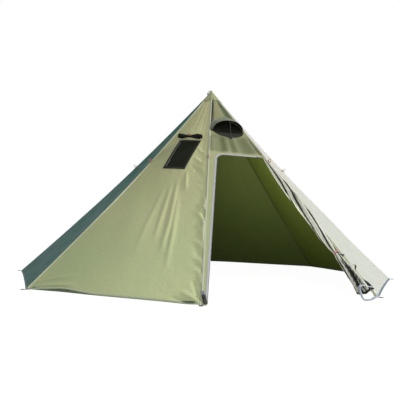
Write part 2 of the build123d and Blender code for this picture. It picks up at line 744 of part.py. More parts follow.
def prop_tip():
    """The centre of the prop's round tip, under the middle of the hood's rim."""
    rise = HOOD_RISE + HOOD_LAP
    lean = hypot(rise - HOOD_RIM_RISE, HOOD_OUT)
    rim = Vector(0, VENT_LINE + HOOD_RIM_RISE, 2 * LAYER_GAP + HOOD_OUT)
    inward = Vector(0, -HOOD_OUT, -(rise - HOOD_RIM_RISE)) / lean
    deep = HOOD_CLOTH + PROP_RADIUS + PROP_TIP_CLEAR
    along = Vector(0, rise - HOOD_RIM_RISE, -HOOD_OUT) / lean
    spot = rim + inward * deep + along * PROP_RADIUS
    return (spot.X, spot.Y, spot.Z)


# ---- Stove jack ----
def jack_place():
    """The stove jack's place on the front left panel."""
    return Location((JACK_U, JACK_V, 0), (0, 0, JACK_TURN))


def jack_outline(inset):
    """The stove jack's rectangle on its panel, drawn in by an inset."""
    return jack_place() * Rectangle(JACK_WIDTH - 2 * inset, JACK_HEIGHT - 2 * inset)


def make_stove_jack():
    """The jack's border, its heatproof cloth, and the flap rolled up above it."""
    panel = panel_plane(DOOR_ANGLE - STEP_ANGLE)
    low = LAYER_GAP
    border = jack_outline(0) - jack_outline(JACK_BORDER)
    save("stove_jack_border", panel * slab(border, low, low + JACK_FRAME))
    cloth = jack_outline(JACK_BORDER - JACK_LAP + JACK_CLEAR)
    save("stove_jack_cloth", panel * slab(cloth, -FABRIC, 0))

    jack = panel * jack_place()
    flap_y = JACK_HEIGHT / 2 + FLAP_ABOVE
    flap_h = FLAP_END + LAYER_GAP + JACK_FRAME + LAYER_GAP
    half = FLAP_LENGTH / 2
    outline = Spline(
        (-half, FLAP_TIP),
        (-half * FLAP_END_AT, FLAP_END),
        (0, FLAP_WAIST),
        (half * FLAP_END_AT, FLAP_END),
        (half, FLAP_TIP),
    )
    edge = Polyline((half, FLAP_TIP), (half, 0), (-half, 0), (-half, FLAP_TIP))
    roll = revolve(make_face(outline + edge), axis=Axis.X)
    save("stove_flap_roll", jack * (Pos(0, flap_y, flap_h) * roll))

    cord_h = flap_h + FLAP_WAIST + CORD_STAND + CORD_RADIUS
    anchor_h = LAYER_GAP + CORD_RADIUS
    over = FLAP_WAIST + 2 * CORD_STAND + CORD_RADIUS
    points = (
        (-FLAP_CORD_SPREAD, flap_y + FLAP_CORD_ABOVE, anchor_h),
        (-FLAP_CORD_SHOULDER, flap_y + over * sin(FLAP_CORD_TURN), flap_h + over * cos(FLAP_CORD_TURN)),
        (0, flap_y, cord_h),
        (FLAP_CORD_SHOULDER, flap_y + over * sin(FLAP_CORD_TURN), flap_h + over * cos(FLAP_CORD_TURN)),
        (FLAP_CORD_SPREAD, flap_y + FLAP_CORD_ABOVE, anchor_h),
    )
    path = FilletPolyline(*points, radius=FLAP_WAIST)
    section = Plane(origin=path @ 0, z_dir=path % 0) * Circle(CORD_RADIUS)
    save("stove_flap_cord", jack * sweep(section, path=path))
    toggle_h = cord_h + CORD_RADIUS + LAYER_GAP + FLAP_TOGGLE_RADIUS
    spot = Plane(origin=(0, flap_y, toggle_h))
    save("stove_flap_toggle", jack * toggle(spot, FLAP_TOGGLE_RADIUS, FLAP_TOGGLE_LENGTH))


# ---- Pole ----
def pole_top():
    """The height of the upper tube's end, just under the apex cup."""
    return APEX_HEIGHT - CUP_FOOT - TIP_SHOULDER - TIP_CLEAR


def pole_tip_top():
    """The height of the tip's end, inside the cup."""
    return APEX_HEIGHT - CUP_TOP - CUP_ROOF - TIP_CLEAR


def collar_foot():
    """The height of the lock collar's lower face."""
    return FOOT_HEIGHT + COLLAR_GAP


def make_pole():
    """The sectional pole, its tip, its ferrules, its lock and its sliding foot."""
    bore = POLE_RADIUS - POLE_WALL
    top = pole_top()
    upper_foot = top - POLE_UPPER
    middle_foot = upper_foot - POLE_MIDDLE
    lower_foot = collar_foot() + COLLAR_WALL
    save("pole_upper_tube", tube(POLE_RADIUS, bore, upper_foot + LAYER_GAP, top))
    save("pole_middle_tube", tube(POLE_RADIUS, bore, middle_foot + LAYER_GAP, upper_foot))
    save("pole_lower_tube", tube(POLE_RADIUS, bore, lower_foot, middle_foot))
    sleeve = bore - FERRULE_CLEAR
    reach = FERRULE_LENGTH / 2
    for name, joint in (("upper_ferrule", upper_foot), ("lower_ferrule", middle_foot)):
        save(name, tube(sleeve, sleeve - FERRULE_WALL, joint - reach, joint + reach))

    tip = slab(Circle(bore - FERRULE_CLEAR), top - TIP_PLUG, top + LAYER_GAP)
    tip += slab(Circle(POLE_RADIUS), top + LAYER_GAP, top + TIP_SHOULDER)
    tip += slab(Circle(TIP_RADIUS), top + TIP_SHOULDER, pole_tip_top())
    save("pole_tip", fillet(tip.edges().group_by(Axis.Z)[-1], TIP_RADIUS / 2))

    foot_tube = bore - FOOT_TUBE_CLEAR
    foot_tube_top = middle_foot - reach - FOOT_TUBE_SPARE
    save("foot_tube", tube(foot_tube, foot_tube - FOOT_TUBE_WALL, FOOT_FLOOR, foot_tube_top))
    seat = foot_tube + FOOT_SEAT_CLEAR
    profile = Polyline(
        (0, 0),
        (FOOT_RADIUS - FOOT_CHAMFER, 0),
        (FOOT_RADIUS, FOOT_CHAMFER),
        (FOOT_RADIUS, FOOT_BODY_TOP),
        (FOOT_NECK, FOOT_NECK_FROM),
        (FOOT_NECK, FOOT_HEIGHT),
        (seat, FOOT_HEIGHT),
        (seat, FOOT_FLOOR - LAYER_GAP),
        (0, FOOT_FLOOR - LAYER_GAP),
        close=True,
    )
    save("pole_foot", revolve(Plane.XZ * make_face(profile), axis=Axis.Z))
    make_lock()


def make_lock():
    """The collar that clamps the foot's tube, with its lever and pin."""
    low = collar_foot()
    high = low + COLLAR_HEIGHT
    turn = Rot(0, 0, LOCK_ANGLE)
    inner = POLE_RADIUS + COLLAR_CLEAR
    outer = inner + COLLAR_WALL
    throat = POLE_RADIUS - POLE_WALL + LAYER_GAP
    collar = tube(outer, inner, low + COLLAR_WALL - LAYER_GAP, high)
    collar += tube(outer, throat, low, low + COLLAR_WALL - LAYER_GAP)
    arm_length = LEVER_PIVOT - inner - COLLAR_CLEAR
    lug = Pos(inner + 1 + arm_length / 2, 0) * Rectangle(arm_length, LUG_WIDTH)
    lug += Pos(LEVER_PIVOT, 0) * Circle(LUG_WIDTH / 2)
    lug -= Circle(inner + 1)
    hole = Pos(LEVER_PIVOT, 0) * Circle(LEVER_PIN_RADIUS + LEVER_CLEAR)
    for base in (low, high - LUG_HEIGHT):
        collar += slab(lug - hole, base, base + LUG_HEIGHT)
    save("lock_collar", turn * collar)
    pin = Pos(LEVER_PIVOT, 0, low - 1) * extrude(Circle(LEVER_PIN_RADIUS), amount=COLLAR_HEIGHT + 2)
    save("lever_pin", turn * pin)
    arm_at = Pos(LEVER_PIVOT + LEVER_BARREL - LEVER_THICK / 2, -LEVER_ARM / 2)
    flat = Pos(LEVER_PIVOT, 0) * Circle(LEVER_BARREL) + arm_at * Rectangle(LEVER_THICK, LEVER_ARM)
    flat -= hole
    lever = slab(flat, low + LUG_HEIGHT + LEVER_GAP, high - LUG_HEIGHT - LEVER_GAP)
    save("lock_lever", turn * lever)


def report_axes():
    """Print the places that the joints use, in metres."""
    door = panel_plane()
    jack = panel_plane(DOOR_ANGLE - STEP_ANGLE) * jack_place()
    roll, length = roll_plane()
    tie = roll.from_local_coords((TIE_AT * length, 0, 0))
    turn = radians(LOCK_ANGLE)
    places = {
        "pull hinge": door.from_local_coords(pull_pivot()),
        "prop hinge": door.from_local_coords(prop_pivot()),
        "prop tip": door.from_local_coords(prop_tip()),
        "flap toggle": (jack * Pos(0, JACK_HEIGHT / 2 + FLAP_ABOVE, 0)).position,
        "door tie": door.from_local_coords(tie),
        "lever pin": Vector(LEVER_PIVOT * cos(turn), LEVER_PIVOT * sin(turn), collar_foot()),
        "jack": jack.position,
    }
    for name, spot in places.items():
        print(name, [round(c / 1000, 6) for c in (spot.X, spot.Y, spot.Z)])
    tie_out = Plane(door.location * roll.location)
    print("door toggle axis", tuple(round(c, 6) for c in tie_out.y_dir))
    run = slider_u() - SLIDER_LENGTH / 2 - door_left(DOOR_TOP) - DOOR_CORNER
    print("straight run of the slider", round(run, 1), "mm; seam fold", round(degrees(FOLD), 2), "deg")
    print("prop angle", round(degrees(atan_prop()), 2), "deg")


def atan_prop():
    """The prop's angle from the panel's face, in radians."""
    pivot, tip = Vector(*prop_pivot()), Vector(*prop_tip())
    rise = tip - pivot
    return acos(rise.Y / rise.length)


if __name__ == "__main__":
    os.makedirs("parts", exist_ok=True)
    make_panels()
    make_seams()
    make_apex()
    make_peg_tabs()
    make_zip()
    make_door_roll()
    make_door_base()
    make_vent()
    make_stove_jack()
    make_pole()
    report_axes()
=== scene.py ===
"""The looks of a pitched eight-sided teepee tent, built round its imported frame.

Metres, +Z up, the ground at z = 0 below the apex, and the door panel facing -Y.
A point on a canopy panel is (u, v, h): u along the panel's foot to the right as seen from
outside, v up its slope, and h outward from its face.
"""
import logging
import math
from dataclasses import dataclass, field
from enum import Enum, IntEnum
from typing import Optional, Sequence, Union

import bmesh
import bpy
import numpy as np
from mathutils import Matrix, Vector


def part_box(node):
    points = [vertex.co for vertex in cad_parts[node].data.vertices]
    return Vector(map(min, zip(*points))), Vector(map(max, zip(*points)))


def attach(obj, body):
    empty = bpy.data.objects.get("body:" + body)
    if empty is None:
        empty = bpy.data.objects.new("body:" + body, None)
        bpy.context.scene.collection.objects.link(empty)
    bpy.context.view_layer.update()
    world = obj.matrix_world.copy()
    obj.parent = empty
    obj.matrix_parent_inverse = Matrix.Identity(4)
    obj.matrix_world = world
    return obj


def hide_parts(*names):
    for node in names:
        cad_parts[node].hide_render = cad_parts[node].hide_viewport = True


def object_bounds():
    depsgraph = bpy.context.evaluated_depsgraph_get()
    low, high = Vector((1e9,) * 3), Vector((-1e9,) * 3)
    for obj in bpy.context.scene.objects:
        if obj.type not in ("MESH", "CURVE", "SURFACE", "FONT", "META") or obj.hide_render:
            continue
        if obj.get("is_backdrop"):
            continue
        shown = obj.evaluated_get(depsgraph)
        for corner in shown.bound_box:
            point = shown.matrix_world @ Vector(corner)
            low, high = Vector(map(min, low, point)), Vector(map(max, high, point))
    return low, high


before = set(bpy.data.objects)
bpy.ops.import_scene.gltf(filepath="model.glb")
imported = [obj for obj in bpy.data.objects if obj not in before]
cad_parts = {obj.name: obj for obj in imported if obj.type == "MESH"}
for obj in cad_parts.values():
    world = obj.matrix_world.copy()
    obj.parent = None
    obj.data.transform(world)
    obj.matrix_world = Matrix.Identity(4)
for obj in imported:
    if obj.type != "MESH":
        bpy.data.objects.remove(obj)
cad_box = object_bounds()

LOG = logging.getLogger("teepee")
MM = 0.001
TURN = 2 * math.pi
FOLD_BOOST = 1.35  # every listed fold stands this much higher than its listed height
Array = np.ndarray
Colour = tuple[float, float, float]
Piece = bpy.types.Object
Socket = bpy.types.NodeSocket
Feed = Union[Socket, float, tuple]
Section = Sequence[tuple[float, float]]


class Panel(IntEnum):
    """The eight panels, clockwise from the door as seen from above."""

    FRONT = 0
    FRONT_RIGHT = 1
    RIGHT = 2
    BACK_RIGHT = 3
    BACK = 4
    BACK_LEFT = 5
    LEFT = 6
    FRONT_LEFT = 7


class Hold(Enum):
    """How a sheet of cloth is held."""

    STRETCHED = "stretched"
    GATHERED = "gathered"


# ---------------------------------------------------------------- small maths
def ease(x: Array) -> Array:
    """A smooth step of x from 0 to 1."""
    x = np.clip(x, 0.0, 1.0)
    return x * x * (3 - 2 * x)


def unit(vectors: Array) -> Array:
    """The vectors at length 1."""
    return vectors / np.maximum(np.linalg.norm(vectors, axis=-1, keepdims=True), 1e-12)


class Ripple:
    """Smooth random height over two coordinates, the same on each run."""

    def __init__(self, seed: int, size: int = 97) -> None:
        """Draws the heights.

        Args:
            seed: The random seed.
            size: Knots on each side before the pattern repeats.
        """
        self.size = size
        self.knots = np.random.default_rng(seed).uniform(-1, 1, (size, size))

    def at(self, x: Array, y: Array) -> Array:
        """The height at x and y.

        Args:
            x: First coordinate, one unit between knots.
            y: Second coordinate.

        Returns:
            Heights from -1 to 1.
        """
        column, row = np.floor(x).astype(int), np.floor(y).astype(int)
        a, b = ease(x - column), ease(y - row)
        i, j, n = column % self.size, row % self.size, self.size
        near, far = self.knots[i, j], self.knots[(i + 1) % n, j]
        near_next, far_next = self.knots[i, (j + 1) % n], self.knots[(i + 1) % n, (j + 1) % n]
        return (near * (1 - a) + far * a) * (1 - b) + (near_next * (1 - a) + far_next * a) * b


# ---------------------------------------------------------------- meshes
def make_piece(
    name: str,
    points: Array,
    faces: Sequence[Sequence[int]],
    corners: Optional[dict[str, Array]] = None,
    smooth: bool = True,
) -> Piece:
    """Makes a mesh object, linked to the scene.

    Args:
        name: The piece's name.
        points: Vertex places, n by 3.
        faces: Vertex numbers of each face.
        corners: Values to keep on the face corners, by attribute name, three numbers each.
        smooth: Whether its faces shade smoothly.

    Returns:
        The new object.
    """
    mesh = bpy.data.meshes.new(name)
    mesh.from_pydata([tuple(p) for p in np.asarray(points, float)], [], [tuple(f) for f in faces])
    for key, values in (corners or {}).items():
        kept = mesh.attributes.new(key, "FLOAT_VECTOR", "CORNER")
        kept.data.foreach_set("vector", np.asarray(values, np.float32).ravel())
    mesh.update()
    if smooth:
        mesh.shade_smooth()
    made = bpy.data.objects.new(name, mesh)
    bpy.context.scene.collection.objects.link(made)
    return made


def face_outward(piece: Piece) -> None:
    """Turns a closed mesh's faces outward.

    Args:
        piece: The closed piece.
    """
    work = bmesh.new()
    work.from_mesh(piece.data)
    bmesh.ops.recalc_face_normals(work, faces=work.faces)
    work.to_mesh(piece.data)
    work.free()


def settle(piece: Piece) -> None:
    """Applies every modifier of a piece.

    Args:
        piece: The piece.
    """
    bpy.context.view_layer.update()
    graph = bpy.context.evaluated_depsgraph_get()
    final = bpy.data.meshes.new_from_object(piece.evaluated_get(graph))
    piece.modifiers.clear()
    piece.data = final


def store_tone(piece: Piece, tone: Array) -> None:
    """Keeps a tone of painted light and shade on a piece's face corners.

    Args:
        piece: The piece.
        tone: One tone for all the corners, or one for each.
    """
    kept = piece.data.attributes.new("tone", "FLOAT_VECTOR", "CORNER")
    values = np.broadcast_to(np.asarray(tone, np.float32), (len(piece.data.loops), 3))
    kept.data.foreach_set("vector", np.ascontiguousarray(values).ravel())


def thicken(piece: Piece, thickness: float, offset: float = -1.0) -> None:
    """Gives a sheet its cloth thickness, with its second material on the inside.

    Args:
        piece: The sheet.
        thickness: The cloth's thickness.
        offset: -1 to grow inward, 1 outward.
    """
    shell = piece.modifiers.new("thickness", "SOLIDIFY")
    shell.thickness, shell.offset = thickness, offset
    shell.material_offset = 1
    shell.use_quality_normals = True
    settle(piece)


def grid_faces(ids: Array) -> tuple[list, Array]:
    """The quads of a grid of vertex numbers.

    Args:
        ids: Vertex numbers, rows by columns.

    Returns:
        The faces, and for each face corner its row and column in the grid.
    """
    rows, columns = ids.shape
    r, c = np.meshgrid(np.arange(rows - 1), np.arange(columns - 1), indexing="ij")
    r, c = r.ravel(), c.ravel()
    row = np.stack([r, r, r + 1, r + 1], 1)
    column = np.stack([c, c + 1, c + 1, c], 1)
    return ids[row, column].tolist(), np.stack([row, column], 2).reshape(-1, 2)


def corner_cloth(places: Array, across: Array, along: Array) -> Array:
    """Where each face corner lies in the flat cloth.

    Args:
        places: Each corner's row and column in the grid.
        across: The grid's places across the cloth.
        along: The grid's places along it.

    Returns:
        One (across, along, 0) for each corner.
    """
    row, column = places.T
    return np.stack([across[row, column], along[row, column], 0 * row], 1)


def loft(
    name: str,
    rings: Array,
    across: Optional[Array] = None,
    lengthwise: Optional[Array] = None,
    closed: bool = True,
    caps: bool = True,
    loop: bool = False,
) -> Piece:
    """A skin through rings of points.

    Args:
        name: The piece's name.
        rings: Ring points, rings by points by 3.
        across: Each ring point's place across the piece, for stitching and weave.
        lengthwise: Each ring's place along the piece.
        closed: Whether each ring closes on itself.
        caps: Whether the end rings are filled.
        loop: Whether the last ring joins the first.

    Returns:
        The new object.
    """
    count, size = rings.shape[:2]
    ids = np.arange(count * size).reshape(count, size)
    if lengthwise is None:
        steps = np.linalg.norm(np.diff(rings.mean(1), axis=0), axis=1)
        lengthwise = np.concatenate([[0], np.cumsum(steps)])
    if across is None:
        steps = np.linalg.norm(np.diff(rings[count // 2], axis=0), axis=1)
        across = np.concatenate([[0], np.cumsum(steps)])
    grid = ids
    if closed:
        grid = np.hstack([grid, grid[:, :1]])
        across = np.append(across, across[0])
    if loop:
        grid = np.vstack([grid, grid[:1]])
        lengthwise = np.append(lengthwise, 2 * lengthwise[-1] - lengthwise[-2])
    faces, places = grid_faces(grid)
    cloth = np.stack([across[places[:, 1]], lengthwise[places[:, 0]], 0 * places[:, 0]], 1)
    if caps and closed and not loop:
        for end, row in ((ids[0][::-1], 0), (ids[-1], -1)):
            faces.append(end.tolist())
            order = across[:size][::-1] if row == 0 else across[:size]
            cloth = np.vstack([cloth, np.stack([order, np.full(size, lengthwise[row]), np.zeros(size)], 1)])
    made = make_piece(name, rings.reshape(-1, 3), faces, {"cloth": cloth})
    if closed and (caps or loop):
        face_outward(made)
    return made


def travel(points: Array, loop: bool = False) -> Array:
    """The direction of a path at each of its points."""
    if loop:
        return unit(np.roll(points, -1, 0) - np.roll(points, 1, 0))
    return unit(np.gradient(points, axis=0))


def carry_normals(points: Array, first: Sequence[float], loop: bool = False) -> Array:
    """Normals carried along a path without twist.

    Args:
        points: The path.
        first: The direction nearest to the first normal.
        loop: Whether the path closes.

    Returns:
        One normal for each point.
    """
    along = travel(points, loop)
    normals = []
    current = np.asarray(first, float)
    for direction in along:
        current = unit(current - direction * np.dot(current, direction))
        normals.append(current)
    return np.array(normals)


def square_to(path: Array, normals: Array, loop: bool = False) -> Array:
    """The normals, turned square to a path's own direction."""
    along = travel(path, loop)
    return unit(normals - along * np.sum(normals * along, 1, keepdims=True))


def place_knots(start: Array, along: Array, out: Array, knots: Section) -> list[Array]:
    """Knots given in millimetres along and out from a place."""
    return [start + along * x * MM + out * y * MM for x, y in knots]


def sweep_section(points: Array, normals: Array, section: Section, loop: bool = False) -> Array:
    """Rings of one cross-section along a path.

    Args:
        points: The path.
        normals: The direction of the section's second coordinate at each point.
        section: (across, height) pairs in metres.
        loop: Whether the path closes.

    Returns:
        The rings, points by section by 3.
    """
    along = travel(points, loop)
    side = unit(np.cross(along, normals))
    shape = np.asarray(section, float)
    return (
        points[:, None]
        + side[:, None] * shape[None, :, :1]
        + normals[:, None] * shape[None, :, 1:]
    )


def sweep(
    name: str, points: Array, normals: Array, section: Section, loop: bool = False
) -> Piece:
    """A solid strip of one cross-section along a path, as sweep_section takes them."""
    rings = sweep_section(points, normals, section, loop)
    return loft(name, rings, across=np.asarray(section, float)[:, 0], loop=loop)


def round_section(radius: float, sides: int = 10) -> list[tuple[float, float]]:
    """A circle as a cross-section."""
    turns = np.arange(sides) * TURN / sides
    return [(radius * math.cos(a), radius * math.sin(a)) for a in turns]


def flat_section(width: float, low: float, high: float, edge: float = 0.0) -> list[tuple[float, float]]:
    """A flat strip as a cross-section, with a softened upper edge.

    Args:
        width: The strip's width.
        low: Its underside's height.
        high: Its top's height.
        edge: How far the top corners are drawn in.

    Returns:
        The section, anticlockwise.
    """
    half = width / 2
    middle = (low + high) / 2
    return [
        (-half + edge, low), (0.0, low), (half - edge, low), (half, middle), (half - edge, high),
        (0.0, high), (-half + edge, high), (-half, middle),
    ]


def curve_through(knots: Sequence[Sequence[float]], count: int, loop: bool = False) -> Array:
    """A smooth path that passes near its knots, evenly stepped.

    Args:
        knots: The knots.
        count: Points on the path.
        loop: Whether it closes.

    Returns:
        The path's points.
    """
    p = np.asarray(knots, float)
    if loop:
        p = np.vstack([p[-1], p, p[:2]])
    else:
        p = np.vstack([2 * p[0] - p[1], p, 2 * p[-1] - p[-2]])
    dense = []
    for a, b, c, d in zip(p, p[1:], p[2:], p[3:]):
        t = np.linspace(0, 1, 24, endpoint=False)[:, None]
        bend, twist = 2 * a - 5 * b + 4 * c - d, 3 * b - a - 3 * c + d
        dense.append(0.5 * (2 * b + (c - a) * t + bend * t**2 + twist * t**3))
    path = np.vstack(dense + ([] if loop else [p[-2:-1]]))
    if loop:
        path = np.vstack([path, path[:1]])
    far = np.concatenate([[0], np.cumsum(np.linalg.norm(np.diff(path, axis=0), axis=1))])
    spots = np.linspace(0, far[-1], count, endpoint=not loop)
    return np.stack([np.interp(spots, far, path[:, i]) for i in range(3)], 1)


# ---------------------------------------------------------------- shader nodes
class Shade:
    """Adds and joins the nodes of one node tree."""

    def __init__(self, tree: bpy.types.NodeTree) -> None:
        """Keeps the tree to add to."""
        self.tree = tree

    def node(
        self, kind: str, feeds: Optional[dict[str, Feed]] = None, **settings: object
    ) -> bpy.types.Node:
        """Adds a node.

        Args:
            kind: The node's type.
            feeds: What goes into its inputs, by name: a socket or a plain value.
            **settings: Its own properties.

        Returns:
            The node.
        """
        made = self.tree.nodes.new(kind)
        for key, value in settings.items():
            setattr(made, key, value)
        for key, value in (feeds or {}).items():
            self.feed(made.inputs[key], value)
        return made

    def feed(self, target: Socket, value: Feed) -> None:
        """Links a socket, or sets a plain value."""
        if isinstance(value, Socket):
            self.tree.links.new(value, target)
        elif target.type == "RGBA":
            target.default_value = (*value[:3], 1.0)
        else:
            target.default_value = value

    def math(self, operation: str, a: Feed, b: Feed = 0.0, clamp: bool = False) -> Socket:
        """One arithmetic step on two values.

        Args:
            operation: The step's name.
            a: The first value.
            b: The second value.
            clamp: Whether the result stays between 0 and 1.

        Returns:
            The result.
        """
        made = self.node("ShaderNodeMath", operation=operation, use_clamp=clamp)
        self.feed(made.inputs[0], a)
        self.feed(made.inputs[1], b)
        return made.outputs[0]

    def mix(self, share: Feed, a: Feed, b: Feed, how: str = "MIX") -> Socket:
        """Two colours mixed by a share.

        Args:
            share: How much of the second.
            a: The first colour.
            b: The second colour.
            how: The way they mix.

        Returns:
            The mixed colour.
        """
        made = self.node("ShaderNodeMix", data_type="RGBA", blend_type=how)
        self.feed(made.inputs[0], share)
        self.feed(made.inputs[6], a)
        self.feed(made.inputs[7], b)
        return made.outputs[2]

    def noise(self, vector: Feed, scale: Feed, detail: float = 2.0, rough: float = 0.5) -> Socket:
        """Soft random values over a vector."""
        feeds = {"Vector": vector, "Scale": scale, "Detail": detail, "Roughness": rough}
        return self.node("ShaderNodeTexNoise", feeds).outputs[0]

    def remap(self, value: Feed, low: Feed, high: Feed, to_low: Feed = 0.0, to_high: Feed = 1.0) -> Socket:
        """A value moved smoothly from one range to another."""
        feeds = {"Value": value, "From Min": low, "From Max": high, "To Min": to_low, "To Max": to_high}
        return self.node("ShaderNodeMapRange", feeds, interpolation_type="SMOOTHSTEP").outputs[0]

    def split(self, vector: Feed) -> tuple[Socket, ...]:
        """The three parts of a vector."""
        return tuple(self.node("ShaderNodeSeparateXYZ", {"Vector": vector}).outputs)

    def join(self, x: Feed, y: Feed, z: Feed = 0.0) -> Socket:
        """A vector of three values."""
        return self.node("ShaderNodeCombineXYZ", {"X": x, "Y": y, "Z": z}).outputs[0]

    def bump(
        self, height: Feed, distance: float, strength: float = 1.0, over: Optional[Feed] = None
    ) -> Socket:
        """A normal shaped by a height.

        Args:
            height: The height.
            distance: What a height of 1 stands for, in metres.
            strength: How much of it shows.
            over: A normal that it is laid over.

        Returns:
            The normal.
        """
        feeds: dict[str, Feed] = {"Height": height, "Distance": distance, "Strength": strength}
        if over is not None:
            feeds["Normal"] = over
        return self.node("ShaderNodeBump", feeds).outputs[0]

    def attribute(self, name: str) -> Socket:
        """A piece's own stored vector."""
        return self.node("ShaderNodeAttribute", attribute_name=name).outputs["Vector"]


class Effect:
    """A surface effect that several finishes use: one node group, built once."""

    name = "effect"
    inputs: tuple[tuple[str, str, object], ...] = ()
    outputs: tuple[tuple[str, str], ...] = ()

    def wire(self, shade: Shade, given: dict[str, Socket], out: bpy.types.Node) -> None:
        """Builds the effect's nodes.

        Args:
            shade: The group's node helper.
            given: The group's input sockets by name.
            out: The group's output node.
        """
        raise NotImplementedError

    def tree(self) -> bpy.types.NodeTree:
        """The effect's node group, made the first time it is asked for."""
        found = bpy.data.node_groups.get(self.name)
        if found:
            return found
        made = bpy.data.node_groups.new(self.name, "ShaderNodeTree")
        for name, kind, value in self.inputs:
            entry = made.interface.new_socket(
                name=name, in_out="INPUT", socket_type=f"NodeSocket{kind}"
            )
            if value is not None:
                entry.default_value = value
        for name, kind in self.outputs:
            made.interface.new_socket(name=name, in_out="OUTPUT", socket_type=f"NodeSocket{kind}")
        start, end = made.nodes.new("NodeGroupInput"), made.nodes.new("NodeGroupOutput")
        self.wire(Shade(made), {s.name: s for s in start.outputs if s.name}, end)
        return made

    def place(self, shade: Shade, **feeds: Feed) -> dict[str, Socket]:
        """Puts the effect in a material.

        Args:
            shade: The material's node helper.
            **feeds: Values for its inputs, with _ for a space.

        Returns:
            Its output sockets by name.
        """
        made = shade.node("ShaderNodeGroup", node_tree=self.tree())
        for key, value in feeds.items():
            shade.feed(made.inputs[key.replace("_", " ")], value)
        return {s.name: s for s in made.outputs}


class WeaveEffect(Effect):
    """Plain-woven threads with a heavier ripstop grid."""

    name = "plain_weave"
    inputs = (("Vector", "Vector", None), ("Threads", "Float", 900.0), ("Grid", "Float", 180.0))
    outputs = (("Height", "Float"), ("Grid Line", "Float"))

    def wire(self, shade: Shade, given: dict, out: bpy.types.Node) -> None:
        """Crossing sine threads, and thin lines where the grid's heavier threads run."""
        x, y, _ = shade.split(given["Vector"])
        waves, lines = [], []
        for axis in (x, y):
            phase = shade.math("MULTIPLY", shade.math("MULTIPLY", axis, given["Threads"]), TURN)
            waves.append(shade.math("SINE", phase))
            cell = shade.math("FRACT", shade.math("MULTIPLY", axis, given["Grid"]))
            lines.append(shade.math("GREATER_THAN", cell, 0.86))
        height = shade.math("MULTIPLY", waves[0], waves[1])
        shade.feed(out.inputs["Height"], height)
        shade.feed(out.inputs["Grid Line"], shade.math("MAXIMUM", lines[0], lines[1]))


class CrumpleEffect(Effect):
    """Soft creases of cloth that was packed small."""

    name = "packed_creases"
    inputs = (("Vector", "Vector", None), ("Scale", "Float", 14.0))
    outputs = (("Height", "Float"),)

    def wire(self, shade: Shade, given: dict, out: bpy.types.Node) -> None:
        """Broad folds with finer ones on them."""
        broad = shade.noise(given["Vector"], given["Scale"], 3.0, 0.45)
        fold = shade.math("ABSOLUTE", shade.math("SUBTRACT", broad, 0.5))
        fine = shade.noise(given["Vector"], shade.math("MULTIPLY", given["Scale"], 4.0), 2.0, 0.5)
        shade.feed(out.inputs["Height"], shade.math("ADD", fold, shade.math("MULTIPLY", fine, 0.25)))


class FadeEffect(Effect):
    """Uneven colour from sun and handling, and dust close to the ground."""

    name = "fade_and_dust"
    inputs = (
        ("Color", "Color", (0.5, 0.5, 0.5, 1.0)),
        ("Faded", "Color", (0.6, 0.6, 0.6, 1.0)),
        ("Dust", "Color", (0.35, 0.3, 0.22, 1.0)),
        ("Vector", "Vector", None),
        ("Amount", "Float", 0.5),
        ("Dust Top", "Float", 0.12),
        ("Dust Amount", "Float", 0.3),
    )
    outputs = (("Color", "Color"), ("Dust Mask", "Float"))

    def wire(self, shade: Shade, given: dict, out: bpy.types.Node) -> None:
        """Broad patches of the faded colour, then dust that thins out upward."""
        patches = shade.remap(shade.noise(given["Vector"], 2.3, 4.0, 0.6), 0.35, 0.7)
        faded = shade.mix(shade.math("MULTIPLY", patches, given["Amount"]), given["Color"], given["Faded"])
        _, _, z = shade.split(given["Vector"])
        low = shade.remap(z, 0.0, given["Dust Top"], 1.0, 0.0)
        grain = shade.remap(shade.noise(given["Vector"], 38.0, 3.0, 0.7), 0.35, 0.75)
        mask = shade.math("MULTIPLY", shade.math("MULTIPLY", low, grain), given["Dust Amount"])
        shade.feed(out.inputs["Color"], shade.mix(mask, faded, given["Dust"]))
        shade.feed(out.inputs["Dust Mask"], mask)


class StitchEffect(Effect):
    """Two rows of stitches along a strip."""

    name = "twin_stitches"
    inputs = (
        ("Vector", "Vector", None),
        ("Row", "Float", 0.006),
        ("Pitch", "Float", 280.0),
        ("Thread", "Float", 0.0005),
    )
    outputs = (("Mask", "Float"), ("Height", "Float"))

    def wire(self, shade: Shade, given: dict, out: bpy.types.Node) -> None:
        """Dashes at equal distance on both sides of the strip's middle."""
        x, y, _ = shade.split(given["Vector"])
        away = shade.math("ABSOLUTE", shade.math("SUBTRACT", shade.math("ABSOLUTE", x), given["Row"]))
        row = shade.math("LESS_THAN", away, given["Thread"])
        dash = shade.math("LESS_THAN", shade.math("FRACT", shade.math("MULTIPLY", y, given["Pitch"])), 0.72)
        mask = shade.math("MULTIPLY", row, dash)
        dip = shade.remap(away, 0.0, 0.002, -1.0, 0.0)
        shade.feed(out.inputs["Mask"], mask)
        shade.feed(out.inputs["Height"], shade.math("ADD", mask, dip))


class GrainEffect(Effect):
    """Fine moulded or drawn grain with a few scuffs."""

    name = "grain_and_scuffs"
    inputs = (("Vector", "Vector", None), ("Scale", "Float", 900.0), ("Scuff Scale", "Float", 40.0))
    outputs = (("Height", "Float"), ("Scuff", "Float"))

    def wire(self, shade: Shade, given: dict, out: bpy.types.Node) -> None:
        """A fine noise for grain, and the peaks of a coarse one for scuffs."""
        shade.feed(out.inputs["Height"], shade.noise(given["Vector"], given["Scale"], 2.0, 0.6))
        coarse = shade.noise(given["Vector"], given["Scuff Scale"], 5.0, 0.7)
        shade.feed(out.inputs["Scuff"], shade.remap(coarse, 0.56, 0.68))


